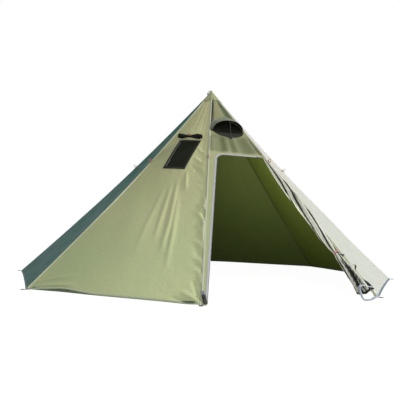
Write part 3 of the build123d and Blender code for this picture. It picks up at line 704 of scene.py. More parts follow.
class RibEffect(Effect):
    """Cross ribs of webbing or braid."""

    name = "webbing_ribs"
    inputs = (("Vector", "Vector", None), ("Ribs", "Float", 620.0), ("Slant", "Float", 0.5))
    outputs = (("Height", "Float"),)

    def wire(self, shade: Shade, given: dict, out: bpy.types.Node) -> None:
        """Slanted ribs that change side like a herringbone."""
        x, y, _ = shade.split(given["Vector"])
        chevron = shade.math("PINGPONG", x, 0.0022)
        run = shade.math("ADD", y, shade.math("MULTIPLY", chevron, given["Slant"]))
        turns = shade.math("MULTIPLY", run, shade.math("MULTIPLY", given["Ribs"], TURN))
        shade.feed(out.inputs["Height"], shade.math("SINE", turns))


@dataclass(frozen=True)
class Finish:
    """What every finish has: its name, its colours and its gloss.

    Attributes:
        name: The material's name.
        colour: Its main colour.
        second: The colour it fades or wears to.
        rough: Its mean roughness.
    """

    name: str
    colour: Colour
    second: Colour
    rough: float = 0.5

    def start(self) -> tuple[bpy.types.Material, Shade, bpy.types.Node]:
        """A new material, its node helper and its Principled shader."""
        made = bpy.data.materials.new(self.name)
        made.use_nodes = True
        made.diffuse_color = (*self.colour, 1.0)
        made.node_tree.nodes.clear()
        shade = Shade(made.node_tree)
        out = shade.node("ShaderNodeOutputMaterial")
        body = shade.node("ShaderNodeBsdfPrincipled", {"Roughness": self.rough})
        shade.tree.links.new(body.outputs[0], out.inputs[0])
        return made, shade, body

    def place(self, shade: Shade) -> Socket:
        """The object's own coordinates, in metres."""
        return shade.node("ShaderNodeTexCoord").outputs["Object"]

    def make(self) -> bpy.types.Material:
        """The finished material."""
        raise NotImplementedError


@dataclass(frozen=True)
class ClothFinish(Finish):
    """Woven tent cloth.

    Attributes:
        low_colour: The colour near the ground, which the main one turns into.
        dust: How much dust lies at the foot.
        sheen: How much the cloth's fuzz lightens at a slant.
        crease: How deep its packing creases are, in metres.
        toned: Whether the piece stores a tone for each panel: painted light and shade that its colour is
            multiplied by.
        grid: Ripstop lines in a metre.
        gloss: How much it mirrors at a right angle.
        tone_name: The stored tone of painted light and shade that it takes.
    """

    low_colour: Optional[Colour] = None
    dust: float = 0.25
    sheen: float = 0.15
    crease: float = 0.0016
    toned: bool = False
    grid: float = 170.0
    gloss: float = 0.3
    tone_name: str = "tone"

    def make(self) -> bpy.types.Material:
        """The finished material."""
        made, shade, body = self.start()
        spot, cloth = self.place(shade), shade.attribute("cloth")
        colour: Feed = self.colour
        if self.low_colour:
            _, _, z = shade.split(spot)
            colour = shade.mix(shade.remap(z, 0.15, 1.25), self.low_colour, self.colour)
        fade = FadeEffect().place(shade, Color=colour, Faded=self.second, Vector=spot, Dust_Amount=self.dust)
        weave = WeaveEffect().place(shade, Vector=cloth, Grid=self.grid)
        ripstop = shade.math("MULTIPLY", weave["Grid Line"], 0.14)
        colour = shade.mix(ripstop, fade["Color"], (0.02, 0.02, 0.015))
        if self.toned:
            # Multiplies in the stored painted light and shade.
            colour = shade.mix(1.0, colour, shade.attribute(self.tone_name), "MULTIPLY")
        shade.feed(body.inputs["Base Color"], colour)
        patchy = shade.noise(spot, 9.0, 3.0)
        rough = shade.remap(patchy, 0.3, 0.7, self.rough - 0.07, self.rough + 0.09)
        shade.feed(body.inputs["Roughness"], rough)
        body.inputs["Sheen Weight"].default_value = self.sheen
        body.inputs["Sheen Roughness"].default_value = 0.45
        body.inputs["Specular IOR Level"].default_value = self.gloss
        creases = CrumpleEffect().place(shade, Vector=spot)
        soft = shade.bump(creases["Height"], self.crease, 0.8)
        shade.feed(body.inputs["Normal"], shade.bump(weave["Height"], 0.00006, 0.35, soft))
        return made


@dataclass(frozen=True)
class SeamFinish(Finish):
    """A folded and stitched strip of tent cloth.

    Attributes:
        thread: The stitches' colour.
        row: The stitches' distance from the strip's middle.
        toned: Whether the piece stores its panels' tone of painted light and shade.
    """

    thread: Colour = (0.5, 0.5, 0.4)
    row: float = 0.006
    toned: bool = False

    def make(self) -> bpy.types.Material:
        """The finished material."""
        made, shade, body = self.start()
        spot, cloth = self.place(shade), shade.attribute("cloth")
        fade = FadeEffect().place(shade, Color=self.colour, Faded=self.second, Vector=spot, Dust_Amount=0.2)
        stitch = StitchEffect().place(shade, Vector=cloth, Row=self.row)
        colour = fade["Color"]
        if self.toned:
            # Multiplies in the stored painted light and shade.
            colour = shade.mix(1.0, colour, shade.attribute("tone"), "MULTIPLY")
        shade.feed(body.inputs["Base Color"], shade.mix(stitch["Mask"], colour, self.thread))
        body.inputs["Sheen Weight"].default_value = 0.15
        body.inputs["Sheen Roughness"].default_value = 0.45
        weave = WeaveEffect().place(shade, Vector=cloth, Grid=0.0)
        pucker = CrumpleEffect().place(shade, Vector=spot, Scale=60.0)
        first = shade.bump(pucker["Height"], 0.0012, 0.6)
        second = shade.bump(weave["Height"], 0.00006, 0.3, first)
        shade.feed(body.inputs["Normal"], shade.bump(stitch["Height"], 0.0004, 0.7, second))
        return made


@dataclass(frozen=True)
class WebbingFinish(Finish):
    """Woven webbing or a braided cord.

    Attributes:
        ribs: Ribs in a metre.
        fuzz: The sheen of its loose fibres.
    """

    ribs: float = 620.0
    fuzz: float = 0.2

    def make(self) -> bpy.types.Material:
        """The finished material."""
        made, shade, body = self.start()
        spot, cloth = self.place(shade), shade.attribute("cloth")
        ribs = RibEffect().place(shade, Vector=cloth, Ribs=self.ribs)
        tops = shade.remap(ribs["Height"], -1.0, 1.0)
        fade = FadeEffect().place(shade, Color=self.colour, Faded=self.second, Vector=spot, Dust_Amount=0.25)
        worn = shade.mix(shade.math("MULTIPLY", tops, 0.35), fade["Color"], self.second)
        shade.feed(body.inputs["Base Color"], worn)
        body.inputs["Sheen Weight"].default_value = self.fuzz
        shade.feed(body.inputs["Normal"], shade.bump(ribs["Height"], 0.0002, 0.7))
        return made


@dataclass(frozen=True)
class PlasticFinish(Finish):
    """Moulded plastic or rubber.

    Attributes:
        grain: The depth of its moulded grain.
        gloss: How much it mirrors at a right angle.
    """

    grain: float = 0.00008
    gloss: float = 0.5

    def make(self) -> bpy.types.Material:
        """The finished material."""
        made, shade, body = self.start()
        spot = self.place(shade)
        grain = GrainEffect().place(shade, Vector=spot)
        fade = FadeEffect().place(shade, Color=self.colour, Faded=self.second, Vector=spot, Amount=0.35)
        scuffed = shade.mix(shade.math("MULTIPLY", grain["Scuff"], 0.5), fade["Color"], self.second)
        shade.feed(body.inputs["Base Color"], scuffed)
        rough = shade.remap(grain["Scuff"], 0.0, 1.0, self.rough, min(1.0, self.rough + 0.25))
        shade.feed(body.inputs["Roughness"], rough)
        body.inputs["Specular IOR Level"].default_value = self.gloss
        shade.feed(body.inputs["Normal"], shade.bump(grain["Height"], self.grain, 0.6))
        return made


@dataclass(frozen=True)
class MetalFinish(Finish):
    """Drawn, cast or anodised metal.

    Attributes:
        stretch: How far its drawn grain is stretched along z.
        metal: 1 for bare metal, less where a coating hides it.
        top_colour: The colour towards the top of a long piece, where it differs.
    """

    stretch: float = 0.04
    metal: float = 1.0
    top_colour: Optional[Colour] = None

    def make(self) -> bpy.types.Material:
        """The finished material."""
        made, shade, body = self.start()
        spot = self.place(shade)
        x, y, z = shade.split(spot)
        drawn = shade.join(x, y, shade.math("MULTIPLY", z, self.stretch))
        grain = GrainEffect().place(shade, Vector=drawn, Scale=700.0, Scuff_Scale=30.0)
        colour: Feed = self.colour
        if self.top_colour:
            colour = shade.mix(shade.remap(z, 0.2, 0.9), self.colour, self.top_colour)
        worn = shade.mix(shade.math("MULTIPLY", grain["Scuff"], 0.45), colour, self.second)
        shade.feed(body.inputs["Base Color"], worn)
        body.inputs["Metallic"].default_value = self.metal
        rough = shade.remap(grain["Height"], 0.3, 0.7, self.rough - 0.08, self.rough + 0.1)
        shade.feed(body.inputs["Roughness"], rough)
        shade.feed(body.inputs["Normal"], shade.bump(grain["Height"], 0.00004, 0.5))
        return made


@dataclass(frozen=True)
class NetFinish(Finish):
    """Fine insect net: thin threads with open cells.

    Attributes:
        cells: Cells in a metre.
    """

    cells: float = 620.0

    def make(self) -> bpy.types.Material:
        """The finished material."""
        made, shade, body = self.start()
        cloth = shade.attribute("cloth")
        x, y, _ = shade.split(cloth)
        threads = []
        for axis in (x, y):
            cell = shade.math("FRACT", shade.math("MULTIPLY", axis, self.cells))
            threads.append(shade.math("GREATER_THAN", cell, 0.55))
        thread = shade.math("MAXIMUM", threads[0], threads[1])
        shade.feed(body.inputs["Base Color"], shade.mix(thread, self.second, self.colour))
        shade.feed(body.inputs["Alpha"], shade.remap(thread, 0.0, 1.0, 0.55, 1.0))
        shade.feed(body.inputs["Normal"], shade.bump(thread, 0.0002, 0.5))
        return made


class Finishes:
    """Every finish of the tent, made when it is first used."""

    KINDS: dict[str, Finish] = {
        f.name: f
        for f in (
            ClothFinish("canopy_outer", (0.372, 0.378, 0.195), (0.40, 0.41, 0.222), 0.5,
                        low_colour=(0.345, 0.405, 0.215), toned=True, dust=0.1, sheen=0.05, crease=0.004),
            # The inside face is darker than the outside: partly the coated side's own colour, partly painted
            # shade of the tent's inside.
            ClothFinish("canopy_inner", (0.19, 0.235, 0.062), (0.20, 0.25, 0.07), 0.6,
                        low_colour=(0.18, 0.235, 0.06), toned=True, dust=0.1, sheen=0.0,
                        tone_name="inner_painted_light"),
            # The door's outer face is the canopy's cloth; this pale cream copy is painted sunlight on the
            # roll.
            ClothFinish("roll_sunlit_outer", (0.66, 0.66, 0.54), (0.74, 0.74, 0.64), 0.42,
                        dust=0.05, crease=0.003, toned=True, sheen=0.05),
            # The roll's inside face: its dark lining, darkened further as painted shade of the deep folds.
            ClothFinish("roll_lining_and_shade", (0.05, 0.055, 0.03), (0.07, 0.075, 0.04), 0.55, dust=0.1, crease=0.003),
            # The hood is the canopy's cloth, darkened here as painted shade; its lining is darker still,
            # painted shade under the hood.
            ClothFinish("hood_shaded_cloth", (0.18, 0.195, 0.125), (0.20, 0.215, 0.14), 0.5, dust=0.0),
            ClothFinish("hood_shaded_lining", (0.045, 0.045, 0.02), (0.055, 0.055, 0.03), 0.6, dust=0.0),
            ClothFinish("jack_cloth", (0.012, 0.014, 0.006), (0.018, 0.02, 0.01), 0.62,
                        dust=0.0, sheen=0.0, grid=0.0, gloss=0.12),
            ClothFinish("flap_cloth", (0.006, 0.006, 0.005), (0.012, 0.012, 0.01), 0.5,
                        dust=0.0, sheen=0.0, grid=0.0, gloss=0.25),
            SeamFinish("seam_cloth", (0.42, 0.43, 0.29), (0.46, 0.47, 0.33), 0.5, toned=True),
            # A paler copy of seam_cloth: a painted highlight, used on one seam only.
            SeamFinish("seam_painted_highlight", (0.56, 0.57, 0.40), (0.6, 0.61, 0.45), 0.45),
            SeamFinish("seam_binding", (0.018, 0.02, 0.01), (0.03, 0.032, 0.02), 0.6,
                       thread=(0.06, 0.06, 0.05), row=0.003),
            SeamFinish("hem_cloth", (0.36, 0.42, 0.26), (0.40, 0.45, 0.30), 0.5, row=0.005, toned=True),
            SeamFinish("hem_navy", (0.06, 0.13, 0.22), (0.14, 0.2, 0.26), 0.45,
                       thread=(0.2, 0.25, 0.3), row=0.005),
            # Painted shade for the strip inside the lifted foot.
            SeamFinish("hem_shade", (0.06, 0.11, 0.05), (0.08, 0.13, 0.07), 0.6, row=0.005),
            SeamFinish("zip_tape", (0.40, 0.40, 0.42), (0.48, 0.48, 0.50), 0.5,
                       thread=(0.7, 0.7, 0.72), row=0.005),
            SeamFinish("tail_tape", (0.33, 0.38, 0.47), (0.45, 0.5, 0.58), 0.5,
                       thread=(0.6, 0.62, 0.66), row=0.005),
            SeamFinish("patch_cloth", (0.33, 0.34, 0.21), (0.4, 0.41, 0.28), 0.5,
                       thread=(0.2, 0.2, 0.12), row=0.012),
            WebbingFinish("black_webbing", (0.006, 0.006, 0.006), (0.02, 0.02, 0.02), 0.7, fuzz=0.0),
            # Grey for the stove jack's painted highlight line.
            WebbingFinish("grey_highlight_line", (0.2, 0.2, 0.19), (0.36, 0.36, 0.34), 0.5),
            WebbingFinish("red_cord", (0.62, 0.05, 0.035), (0.75, 0.2, 0.14), 0.6, ribs=900.0),
            WebbingFinish("black_cord", (0.01, 0.01, 0.01), (0.05, 0.05, 0.045), 0.6, ribs=900.0),
            WebbingFinish("pink_webbing", (0.72, 0.22, 0.24), (0.8, 0.4, 0.4), 0.6),
            NetFinish("net", (0.012, 0.011, 0.004), (0.006, 0.006, 0.003), 0.8),
            PlasticFinish("zip_plastic", (0.40, 0.40, 0.44), (0.52, 0.52, 0.55), 0.38),
            PlasticFinish("pink_toggle", (0.72, 0.2, 0.24), (0.8, 0.35, 0.36), 0.35),
            PlasticFinish("red_toggle", (0.55, 0.02, 0.03), (0.66, 0.12, 0.12), 0.32),
            PlasticFinish("grey_plastic", (0.19, 0.22, 0.30), (0.3, 0.32, 0.38), 0.4),
            PlasticFinish("black_plastic", (0.016, 0.016, 0.017), (0.06, 0.06, 0.06), 0.42),
            PlasticFinish("lime_plastic", (0.42, 0.52, 0.045), (0.55, 0.62, 0.2), 0.4),
            PlasticFinish("foot_rubber", (0.012, 0.013, 0.011), (0.05, 0.048, 0.042), 0.75,
                          grain=0.0002, gloss=0.3),
            MetalFinish("zip_metal", (0.10, 0.10, 0.11), (0.4, 0.4, 0.42), 0.38, stretch=1.0, metal=0.9),
            MetalFinish("steel", (0.5, 0.5, 0.52), (0.32, 0.31, 0.3), 0.32, stretch=1.0),
            MetalFinish("bare_aluminium", (0.66, 0.67, 0.69), (0.5, 0.5, 0.52), 0.34),
            MetalFinish("orange_anodised", (0.50, 0.17, 0.035), (0.6, 0.4, 0.25), 0.36, metal=0.55,
                        top_colour=(0.42, 0.07, 0.03)),
        )
    }

    def __init__(self) -> None:
        """Starts with none made."""
        self.made: dict[str, bpy.types.Material] = {}

    def get(self, name: str) -> bpy.types.Material:
        """The material of that name."""
        if name not in self.made:
            self.made[name] = self.KINDS[name].make()
        return self.made[name]

    def dress(self, piece: Piece, *names: str) -> None:
        """Gives a piece its finishes, in slot order."""
        piece.data.materials.clear()
        for name in names:
            piece.data.materials.append(self.get(name))


FINISHES = Finishes()


def enter(
    piece: Piece,
    stands_for: Sequence[str] = (),
    body: str = "canopy",
) -> Piece:
    """Enters a finished piece in the frame.

    Args:
        piece: The piece.
        stands_for: The plain nodes that it replaces.
        body: The body that it moves with.

    Returns:
        The piece.
    """
    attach(piece, body)
    if stands_for:
        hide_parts(*stands_for)
    LOG.info("%s: %d faces on %s", piece.name, len(piece.data.polygons) if piece.type == "MESH" else 0, body)
    return piece


# ---------------------------------------------------------------- the canopy's surface
@dataclass(frozen=True)
class Fold:
    """A soft ridge or crease along a line on one panel.

    Attributes:
        panel: The panel.
        path: Its line's (u, v) points, in metres.
        width: Its half width.
        height: How far it stands out, negative for a crease.
    """

    panel: Panel
    path: tuple[tuple[float, float], ...]
    width: float
    height: float

    def lift(self, u: Array, v: Array) -> Array:
        """How far the fold raises the cloth at u, v.

        Args:
            u: Places along the panel's foot.
            v: Places up the slope.

        Returns:
            The heights.
        """
        total = np.zeros(np.shape(u))
        nodes = np.array(self.path)
        reach = np.concatenate([[0], np.cumsum(np.linalg.norm(np.diff(nodes, axis=0), axis=1))])
        for i, (a, b) in enumerate(zip(nodes, nodes[1:])):
            run = b - a
            share = np.clip(((u - a[0]) * run[0] + (v - a[1]) * run[1]) / run.dot(run), 0, 1)
            away = np.hypot(u - a[0] - share * run[0], v - a[1] - share * run[1])
            far = (reach[i] + share * (reach[i + 1] - reach[i])) / reach[-1]
            taper = np.sin(np.pi * np.clip(far, 0, 1)) ** 0.7
            total = np.maximum(total, np.exp(-((away / self.width) ** 2)) * taper)
        return FOLD_BOOST * self.height * total


@dataclass
class TentShape:
    """The tent's sizes, and how its cloth hangs between its seams."""

    corner_radius: float = 1.6
    apex_height: float = 1.6
    sides: int = 8
    door_angle: float = -90.0
    seam_sag: tuple[float, ...] = (0.006, 0.03, 0.028, 0.026, 0.026, 0.03, 0.033, 0.006)
    body_sag: tuple[float, ...] = (0.0, 0.014, 0.02, 0.02, 0.02, 0.02, 0.018, 0.016)
    jack_middle: tuple[float, float] = (0.01, 1.42)
    fan_height: float = 0.0045
    pucker_height: float = 0.021
    pleat_height: float = 0.0115
    streak_height: float = 0.0021
    soft_height: float = 0.006
    fine_height: float = 0.0028
    hem_clear: float = 0.006
    corner_clear: float = 0.024
    folds: tuple[Fold, ...] = (
        Fold(Panel.FRONT_LEFT, ((0.11, 1.15), (0.175, 0.95)), 0.012, 0.007),
        Fold(Panel.FRONT_LEFT, ((0.067, 1.06), (0.17, 0.62), (0.21, 0.36)), 0.016, 0.0085),
        Fold(Panel.FRONT_LEFT, ((0.026, 1.04), (0.077, 0.72), (0.12, 0.45)), 0.017, 0.006),
        Fold(Panel.FRONT_LEFT, ((0.13, 0.92), (0.24, 0.5), (0.30, 0.22)), 0.016, 0.006),
        Fold(Panel.FRONT_LEFT, ((-0.02, 0.98), (0.0, 0.6), (0.03, 0.35)), 0.02, 0.0035),
        Fold(Panel.FRONT_LEFT, ((0.12, 1.3), (0.2, 1.235), (0.255, 1.2)), 0.010, 0.006),
        Fold(Panel.FRONT_LEFT, ((0.12, 1.22), (0.2, 1.15), (0.28, 1.09)), 0.011, -0.007),
        Fold(Panel.FRONT_LEFT, ((0.11, 1.42), (0.16, 1.36), (0.21, 1.33)), 0.009, 0.005),
        Fold(Panel.FRONT_LEFT, ((-0.60, 0.02), (-0.44, 0.05), (-0.25, 0.07)), 0.012, 0.006),
        Fold(Panel.FRONT_LEFT, ((-0.58, 0.06), (-0.44, 0.11), (-0.30, 0.14)), 0.010, 0.004),
        Fold(Panel.FRONT_LEFT, ((0.60, 0.02), (0.53, 0.05), (0.45, 0.09)), 0.008, 0.008),
        Fold(Panel.FRONT_LEFT, ((0.60, 0.03), (0.545, 0.10), (0.50, 0.16)), 0.008, -0.008),
        Fold(Panel.FRONT_LEFT, ((0.60, 0.01), (0.50, 0.02), (0.40, 0.04)), 0.007, -0.005),
        Fold(Panel.FRONT_RIGHT, ((-0.60, 0.01), (-0.555, 0.10), (-0.53, 0.20)), 0.011, 0.012),
        Fold(Panel.FRONT_RIGHT, ((-0.57, 0.01), (-0.515, 0.10), (-0.49, 0.18)), 0.010, -0.012),
        Fold(Panel.FRONT_RIGHT, ((0.60, 0.02), (0.5, 0.07), (0.38, 0.1)), 0.011, 0.006),
    )

    def __post_init__(self) -> None:
        """Works out the pyramid and the random waves."""
        step = math.pi / self.sides
        self.apothem = self.corner_radius * math.cos(step)
        self.half_base = self.corner_radius * math.sin(step)
        self.slant = math.hypot(self.apothem, self.apex_height)
        self.ridge = math.hypot(self.corner_radius, self.apex_height)
        self.waves = [Ripple(seed) for seed in range(11, 19)]

    def half_width(self, v: Array) -> Array:
        """Half of a panel's width at slope v."""
        return self.half_base * (1 - np.asarray(v, float) / self.slant)

    def axes(self, panel: int) -> tuple[Array, Array, Array, Array]:
        """A panel's foot, and its directions to the right, up its slope and outward.

        Args:
            panel: The panel's number.

        Returns:
            The middle of its foot, then the three directions.
        """
        a = math.radians(self.door_angle + (panel % self.sides) * 360 / self.sides)
        flat_out = np.array([math.cos(a), math.sin(a), 0.0])
        right = np.array([-math.sin(a), math.cos(a), 0.0])
        up = (np.array([0, 0, self.apex_height]) - flat_out * self.apothem) / self.slant
        return flat_out * self.apothem, right, up, np.cross(right, up)

    def seam_angle(self, seam: int) -> float:
        """The compass angle of the seam to the right of panel number seam, in radians."""
        return math.radians(self.door_angle + (seam % self.sides + 0.5) * 360 / self.sides)

    def seam_out(self, seam: int) -> Array:
        """The direction that stands out from a seam.

        Args:
            seam: The seam to the right of the panel of that number.

        Returns:
            The direction.
        """
        a = self.seam_angle(seam)
        tilt = np.array([math.cos(a) * self.apex_height, math.sin(a) * self.apex_height, self.corner_radius])
        return unit(tilt)

    def sag_of_seam(self, seam: int, t: Array) -> Array:
        """How deep a seam hangs at share t of its length.

        Args:
            seam: The seam's number.
            t: Shares of its length, from the ground.

        Returns:
            The depths.
        """
        depth = self.seam_sag[seam % self.sides]
        if seam % self.sides in (0, self.sides - 1):
            return depth * np.sin(np.pi * np.clip(t / 0.55, 0, 1))
        return depth * np.sin(np.pi * np.clip(t, 0, 1))

    def fan(self, u: Array, v: Array, side: int, wave: Ripple) -> Array:
        """Folds that fan out from a pegged corner.

        Args:
            u: Places along the panel's foot.
            v: Places up the slope.
            side: 1 for the right corner, -1 for the left.
            wave: The random height.

        Returns:
            How far the cloth stands out.
        """
        across = np.maximum(side * (side * self.half_base - u), 1e-6)
        turn = np.arctan2(v, across)
        reach = np.hypot(across, v)
        spokes = wave.at(turn * 7.0, reach * 2.0)
        return self.fan_height * spokes * np.exp(-reach / 0.2) * ease(reach / 0.05)

    def puckers(self, u: Array, v: Array, half: Array) -> Array:
        """Small creases where the left front panel is sewn to the door's seam.

        Args:
            u: Places along the panel's foot.
            v: Places up the slope.
            half: Half of the panel's width there.

        Returns:
            How far the cloth stands out.
        """
        away = half - u
        uneven = 0.65 + 0.35 * self.waves[5].at(v / 0.16, away / 0.3 + 7)
        pull = self.waves[4].at(v / 0.042 - away / 0.07, away / 0.06) * uneven
        near = np.exp(-((away / 0.055) ** 2))
        return self.pucker_height * pull * near * ease(away / 0.012) * ease((1.30 - v) / 0.2)

    def pleats(self, s: Array, v: Array) -> Array:
        """Soft pleats of the cloth between the vent and the door's head.

        Args:
            s: Shares of the panel's half width.
            v: Places up the slope.

        Returns:
            How far the cloth stands out.
        """
        near = ease((1.556 - v) / 0.05) * ease((v - 1.332) / 0.05)
        clear = 1 - np.exp(-((s / 0.16) ** 2) - ((v - 1.533) / 0.03) ** 2)
        wave = 0.6 * np.sin(s * 13.0 + 1.1 * np.sin(s * 5 + 1)) + 0.5 * self.waves[6].at(s * 5.5 + 3, v * 2.0)
        return self.pleat_height * wave * near * clear

    def streaks(self, s: Array, t: Array, panel: int) -> Array:
        """Fine pulls that run down from the apex.

        Args:
            s: Shares of the panel's half width.
            t: Shares of the slope.
            panel: The panel's number.

        Returns:
            How far the cloth stands out.
        """
        wave = self.waves[2].at(s * 8 + 9 * panel, t * 2.2)
        wave = wave + 0.5 * self.waves[3].at(s * 19 + 5 * panel, t * 3)
        return self.streak_height * wave * ease((t - 0.35) / 0.3) * ease((0.985 - t) / 0.05)

    def hem_lift(self, panel: int, u: Array) -> Array:
        """How far a panel's foot hangs clear of the ground.

        Args:
            panel: The panel's number.
            u: Places along the panel's foot.

        Returns:
            The lifts, up the slope.
        """
        half = self.half_base
        lift = self.hem_clear * np.cos(np.pi * np.clip(u / half, -1, 1) / 2)
        if panel == Panel.FRONT_LEFT:
            lift = lift + self.corner_clear * np.exp(-(((u + 0.34) / 0.16) ** 2))
        return lift * ease((half - np.abs(u)) / 0.05)

    def relief(self, panel: int, u: Array, v: Array) -> Array:
        """How far a panel's cloth stands out of its plane between its seams.

        Args:
            panel: The panel's number.
            u: Places along the panel's foot.
            v: Places up the slope.

        Returns:
            The heights, negative where it hangs in.
        """
        half = self.half_width(v)
        s, t = np.clip(u / half, -1, 1), v / self.slant
        edge = ease((half - np.abs(u)) / 0.012)
        if panel == Panel.FRONT:
            span_right = ease((v - 1.66) / 0.12) * ease((2.08 - v) / 0.1)
            span_left = ease((v - 1.60) / 0.06) * ease((2.08 - v) / 0.08)
            valley = -0.011 * np.exp(-(((s - 0.5) / 0.3) ** 2)) * span_right
            valley -= 0.012 * np.exp(-(((s + 0.86) / 0.14) ** 2)) * span_left
            return (self.pleats(s, v) + valley) * edge
        body = -self.body_sag[panel] * (1 - s**2) * np.sin(np.pi * np.clip(t, 0, 1))
        soft = self.soft_height * self.waves[0].at(u / 0.30 + 5 * panel, v / 0.42 + 3 * panel)
        soft = soft + self.fine_height * self.waves[1].at(u / 0.12 + 5 * panel, v / 0.3 + 3 * panel)
        total = body + soft * np.sin(np.pi * np.clip(t * 1.1, 0, 1)) + self.streaks(s, t, panel)
        total = total + self.fan(u, v, 1, self.waves[7]) + self.fan(u, v, -1, self.waves[6])
        if panel == Panel.FRONT_LEFT:
            total = total + self.puckers(u, v, half)
        for fold in self.folds:
            if fold.panel == panel:
                total = total + fold.lift(u, v)
        return total * edge

    def calm(self, panel: int, u: Array, v: Array) -> Array:
        """How much of the hang is left near the stiff stove jack.

        Args:
            panel: The panel's number.
            u: Places along the panel's foot.
            v: Places up the slope.

        Returns:
            Shares from 0 to 1.
        """
        if panel != Panel.FRONT_LEFT:
            return np.ones(np.shape(u))
        s = np.clip(u / self.half_width(v), -1, 1)
        r2 = ((u - self.jack_middle[0]) / 0.2) ** 2 + ((v - self.jack_middle[1]) / 0.27) ** 2
        return 1 - 0.85 * np.exp(-r2) * (1 - s**2)

    def flat(self, panel: int, u: Array, v: Array, h: Array = 0.0) -> Array:
        """Points of a panel's plane.

        Args:
            panel: The panel's number.
            u: Places along its foot.
            v: Places up its slope.
            h: Heights out of its face.

        Returns:
            The points in the tent's frame.
        """
        foot, right, up, out = self.axes(panel)
        u, v, h = np.broadcast_arrays(np.asarray(u, float), np.asarray(v, float), np.asarray(h, float))
        return foot + u[..., None] * right + v[..., None] * up + h[..., None] * out

    def cloth(self, panel: int, u: Array, v: Array, h: Array = 0.0) -> Array:
        """Points of the hanging cloth.

        Args:
            panel: The panel's number.
            u: Places along its foot.
            v: Places up its slope.
            h: Heights out of its face.

        Returns:
            The points in the tent's frame.
        """
        panel %= self.sides
        u, v, h = np.broadcast_arrays(np.asarray(u, float), np.asarray(v, float), np.asarray(h, float))
        points = self.flat(panel, u, v, h)
        s, t = np.clip(u / self.half_width(v), -1.0, 1.0), v / self.slant
        move = np.zeros(points.shape)
        for side, seam in ((1, panel), (-1, panel - 1)):
            depth = (1 + side * s) / 2 * self.sag_of_seam(seam, t)
            move -= depth[..., None] * self.seam_out(seam)
        out = self.axes(panel)[3]
        move += self.relief(panel, u, v)[..., None] * out
        return points + move * self.calm(panel, u, v)[..., None]

    def over_seam(self, seam: int, slopes: Array, section: Section) -> Array:
        """Rings of a strip folded over a seam.

        Args:
            seam: The seam to the right of the panel of that number.
            slopes: Places up the slope.
            section: (across, height) pairs; across is negative on the left panel.

        Returns:
            The rings, slopes by section by 3.
        """
        half = self.half_width(slopes)
        rings = []
        for across, height in section:
            if across < 0:
                rings.append(self.cloth(seam, half + across, slopes, height))
            elif across > 0:
                rings.append(self.cloth(seam + 1, -half + across, slopes, height))
            else:
                rings.append(self.cloth(seam, half, slopes) + height * self.seam_out(seam))
        return np.stack(rings, 1)


SHAPE = TentShape()


@dataclass
class Doorway:
    """The door's opening and the vent's, in the front panel."""

    top: float = 1.325
    jamb_foot: float = 0.032
    jamb_head: float = 0.065
    jamb_right: float = 0.022
    corner: float = 0.080
    corner_right: float = 0.018
    vent_line: float = 1.620
    vent_half: float = 0.131
    vent_drop: float = 0.075
    vent_rise: float = 0.165
    vent_flat: float = 0.022

    def left(self, v: Array) -> Array:
        """The straight left edge at slope v."""
        return -SHAPE.half_width(v) + self.jamb_foot + (self.jamb_head - self.jamb_foot) * v / self.top

    def right(self, v: Array) -> Array:
        """The straight right edge at slope v."""
        return SHAPE.half_width(v) - self.jamb_right

    def vent_slope(self, reach: float) -> float:
        """How far up an ellipse of height reach its half width is vent_flat."""
        return reach * math.sqrt(1 - (self.vent_flat / self.vent_half) ** 2)

    def vent_bottom(self) -> float:
        """The slope where the vent's opening starts."""
        return self.vent_line - self.vent_slope(self.vent_drop)

    def vent_top(self) -> float:
        """The slope where the vent's opening ends."""
        return self.vent_line + self.vent_slope(self.vent_rise)

    def edges(self, v: Array) -> tuple[Array, Array]:
        """The two lines that bound the openings, carried on between and above them.

        Args:
            v: Places up the slope.

        Returns:
            The u of the left line and of the right one.
        """
        v = np.asarray(v, float)

        def rounded(radius: float) -> Array:
            """How far a rounded upper corner draws the edge in."""
            up = np.clip((v - (self.top - radius)) / radius, 0, 1)
            return radius * (1 - np.sqrt(1 - up**2))

        low = (self.left(v) + rounded(self.corner), self.right(v) - rounded(self.corner_right))
        start = (self.left(self.top) + self.corner, self.right(self.top) - self.corner_right)
        bottom, top = self.vent_bottom(), self.vent_top()
        share = ease((v - self.top) / (bottom - self.top))
        reach = np.where(v < self.vent_line, self.vent_drop, self.vent_rise)
        bowl = self.vent_half * np.sqrt(np.clip(1 - ((v - self.vent_line) / reach) ** 2, 0, 1))
        above = self.vent_flat * SHAPE.half_width(v) / SHAPE.half_width(top)
        sides = []
        for sign, at, begin in ((-1, low[0], start[0]), (1, low[1], start[1])):
            between = begin + (sign * self.vent_flat - begin) * share
            line = np.where(v <= self.top, at, between)
            line = np.where((v > bottom) & (v < top), sign * np.maximum(bowl, self.vent_flat), line)
            sides.append(np.where(v >= top, sign * above, line))
        return sides[0], sides[1]


DOOR = Doorway()


class SheetMesh:
    """The canopy's mesh while it grows: points, faces and what each face corner keeps."""

    def __init__(self) -> None:
        """Starts empty."""
        self.points: list[Array] = []
        self.count = 0
        self.faces: list = []
        self.kept: dict[str, list[Array]] = {"cloth": [], "tone": [], "inner_painted_light": []}

    def add(self, new: Array) -> Array:
        """Adds points.

        Args:
            new: A column or a grid of points.

        Returns:
            Their vertex numbers, laid out the same way.
        """
        numbers = self.count + np.arange(new.size // 3)
        self.points.append(new.reshape(-1, 3))
        self.count += len(numbers)
        return numbers.reshape(new.shape[:-1])

    def make(self, name: str) -> Piece:
        """The finished piece, without the points that no face uses.

        Args:
            name: The piece's name.

        Returns:
            The new piece.
        """
        every, faces = np.vstack(self.points), np.array(self.faces)
        used = np.zeros(len(every), bool)
        used[np.unique(faces)] = True
        faces = (np.cumsum(used) - 1)[faces].tolist()
        return make_piece(name, every[used], faces, {key: np.vstack(v) for key, v in self.kept.items()})


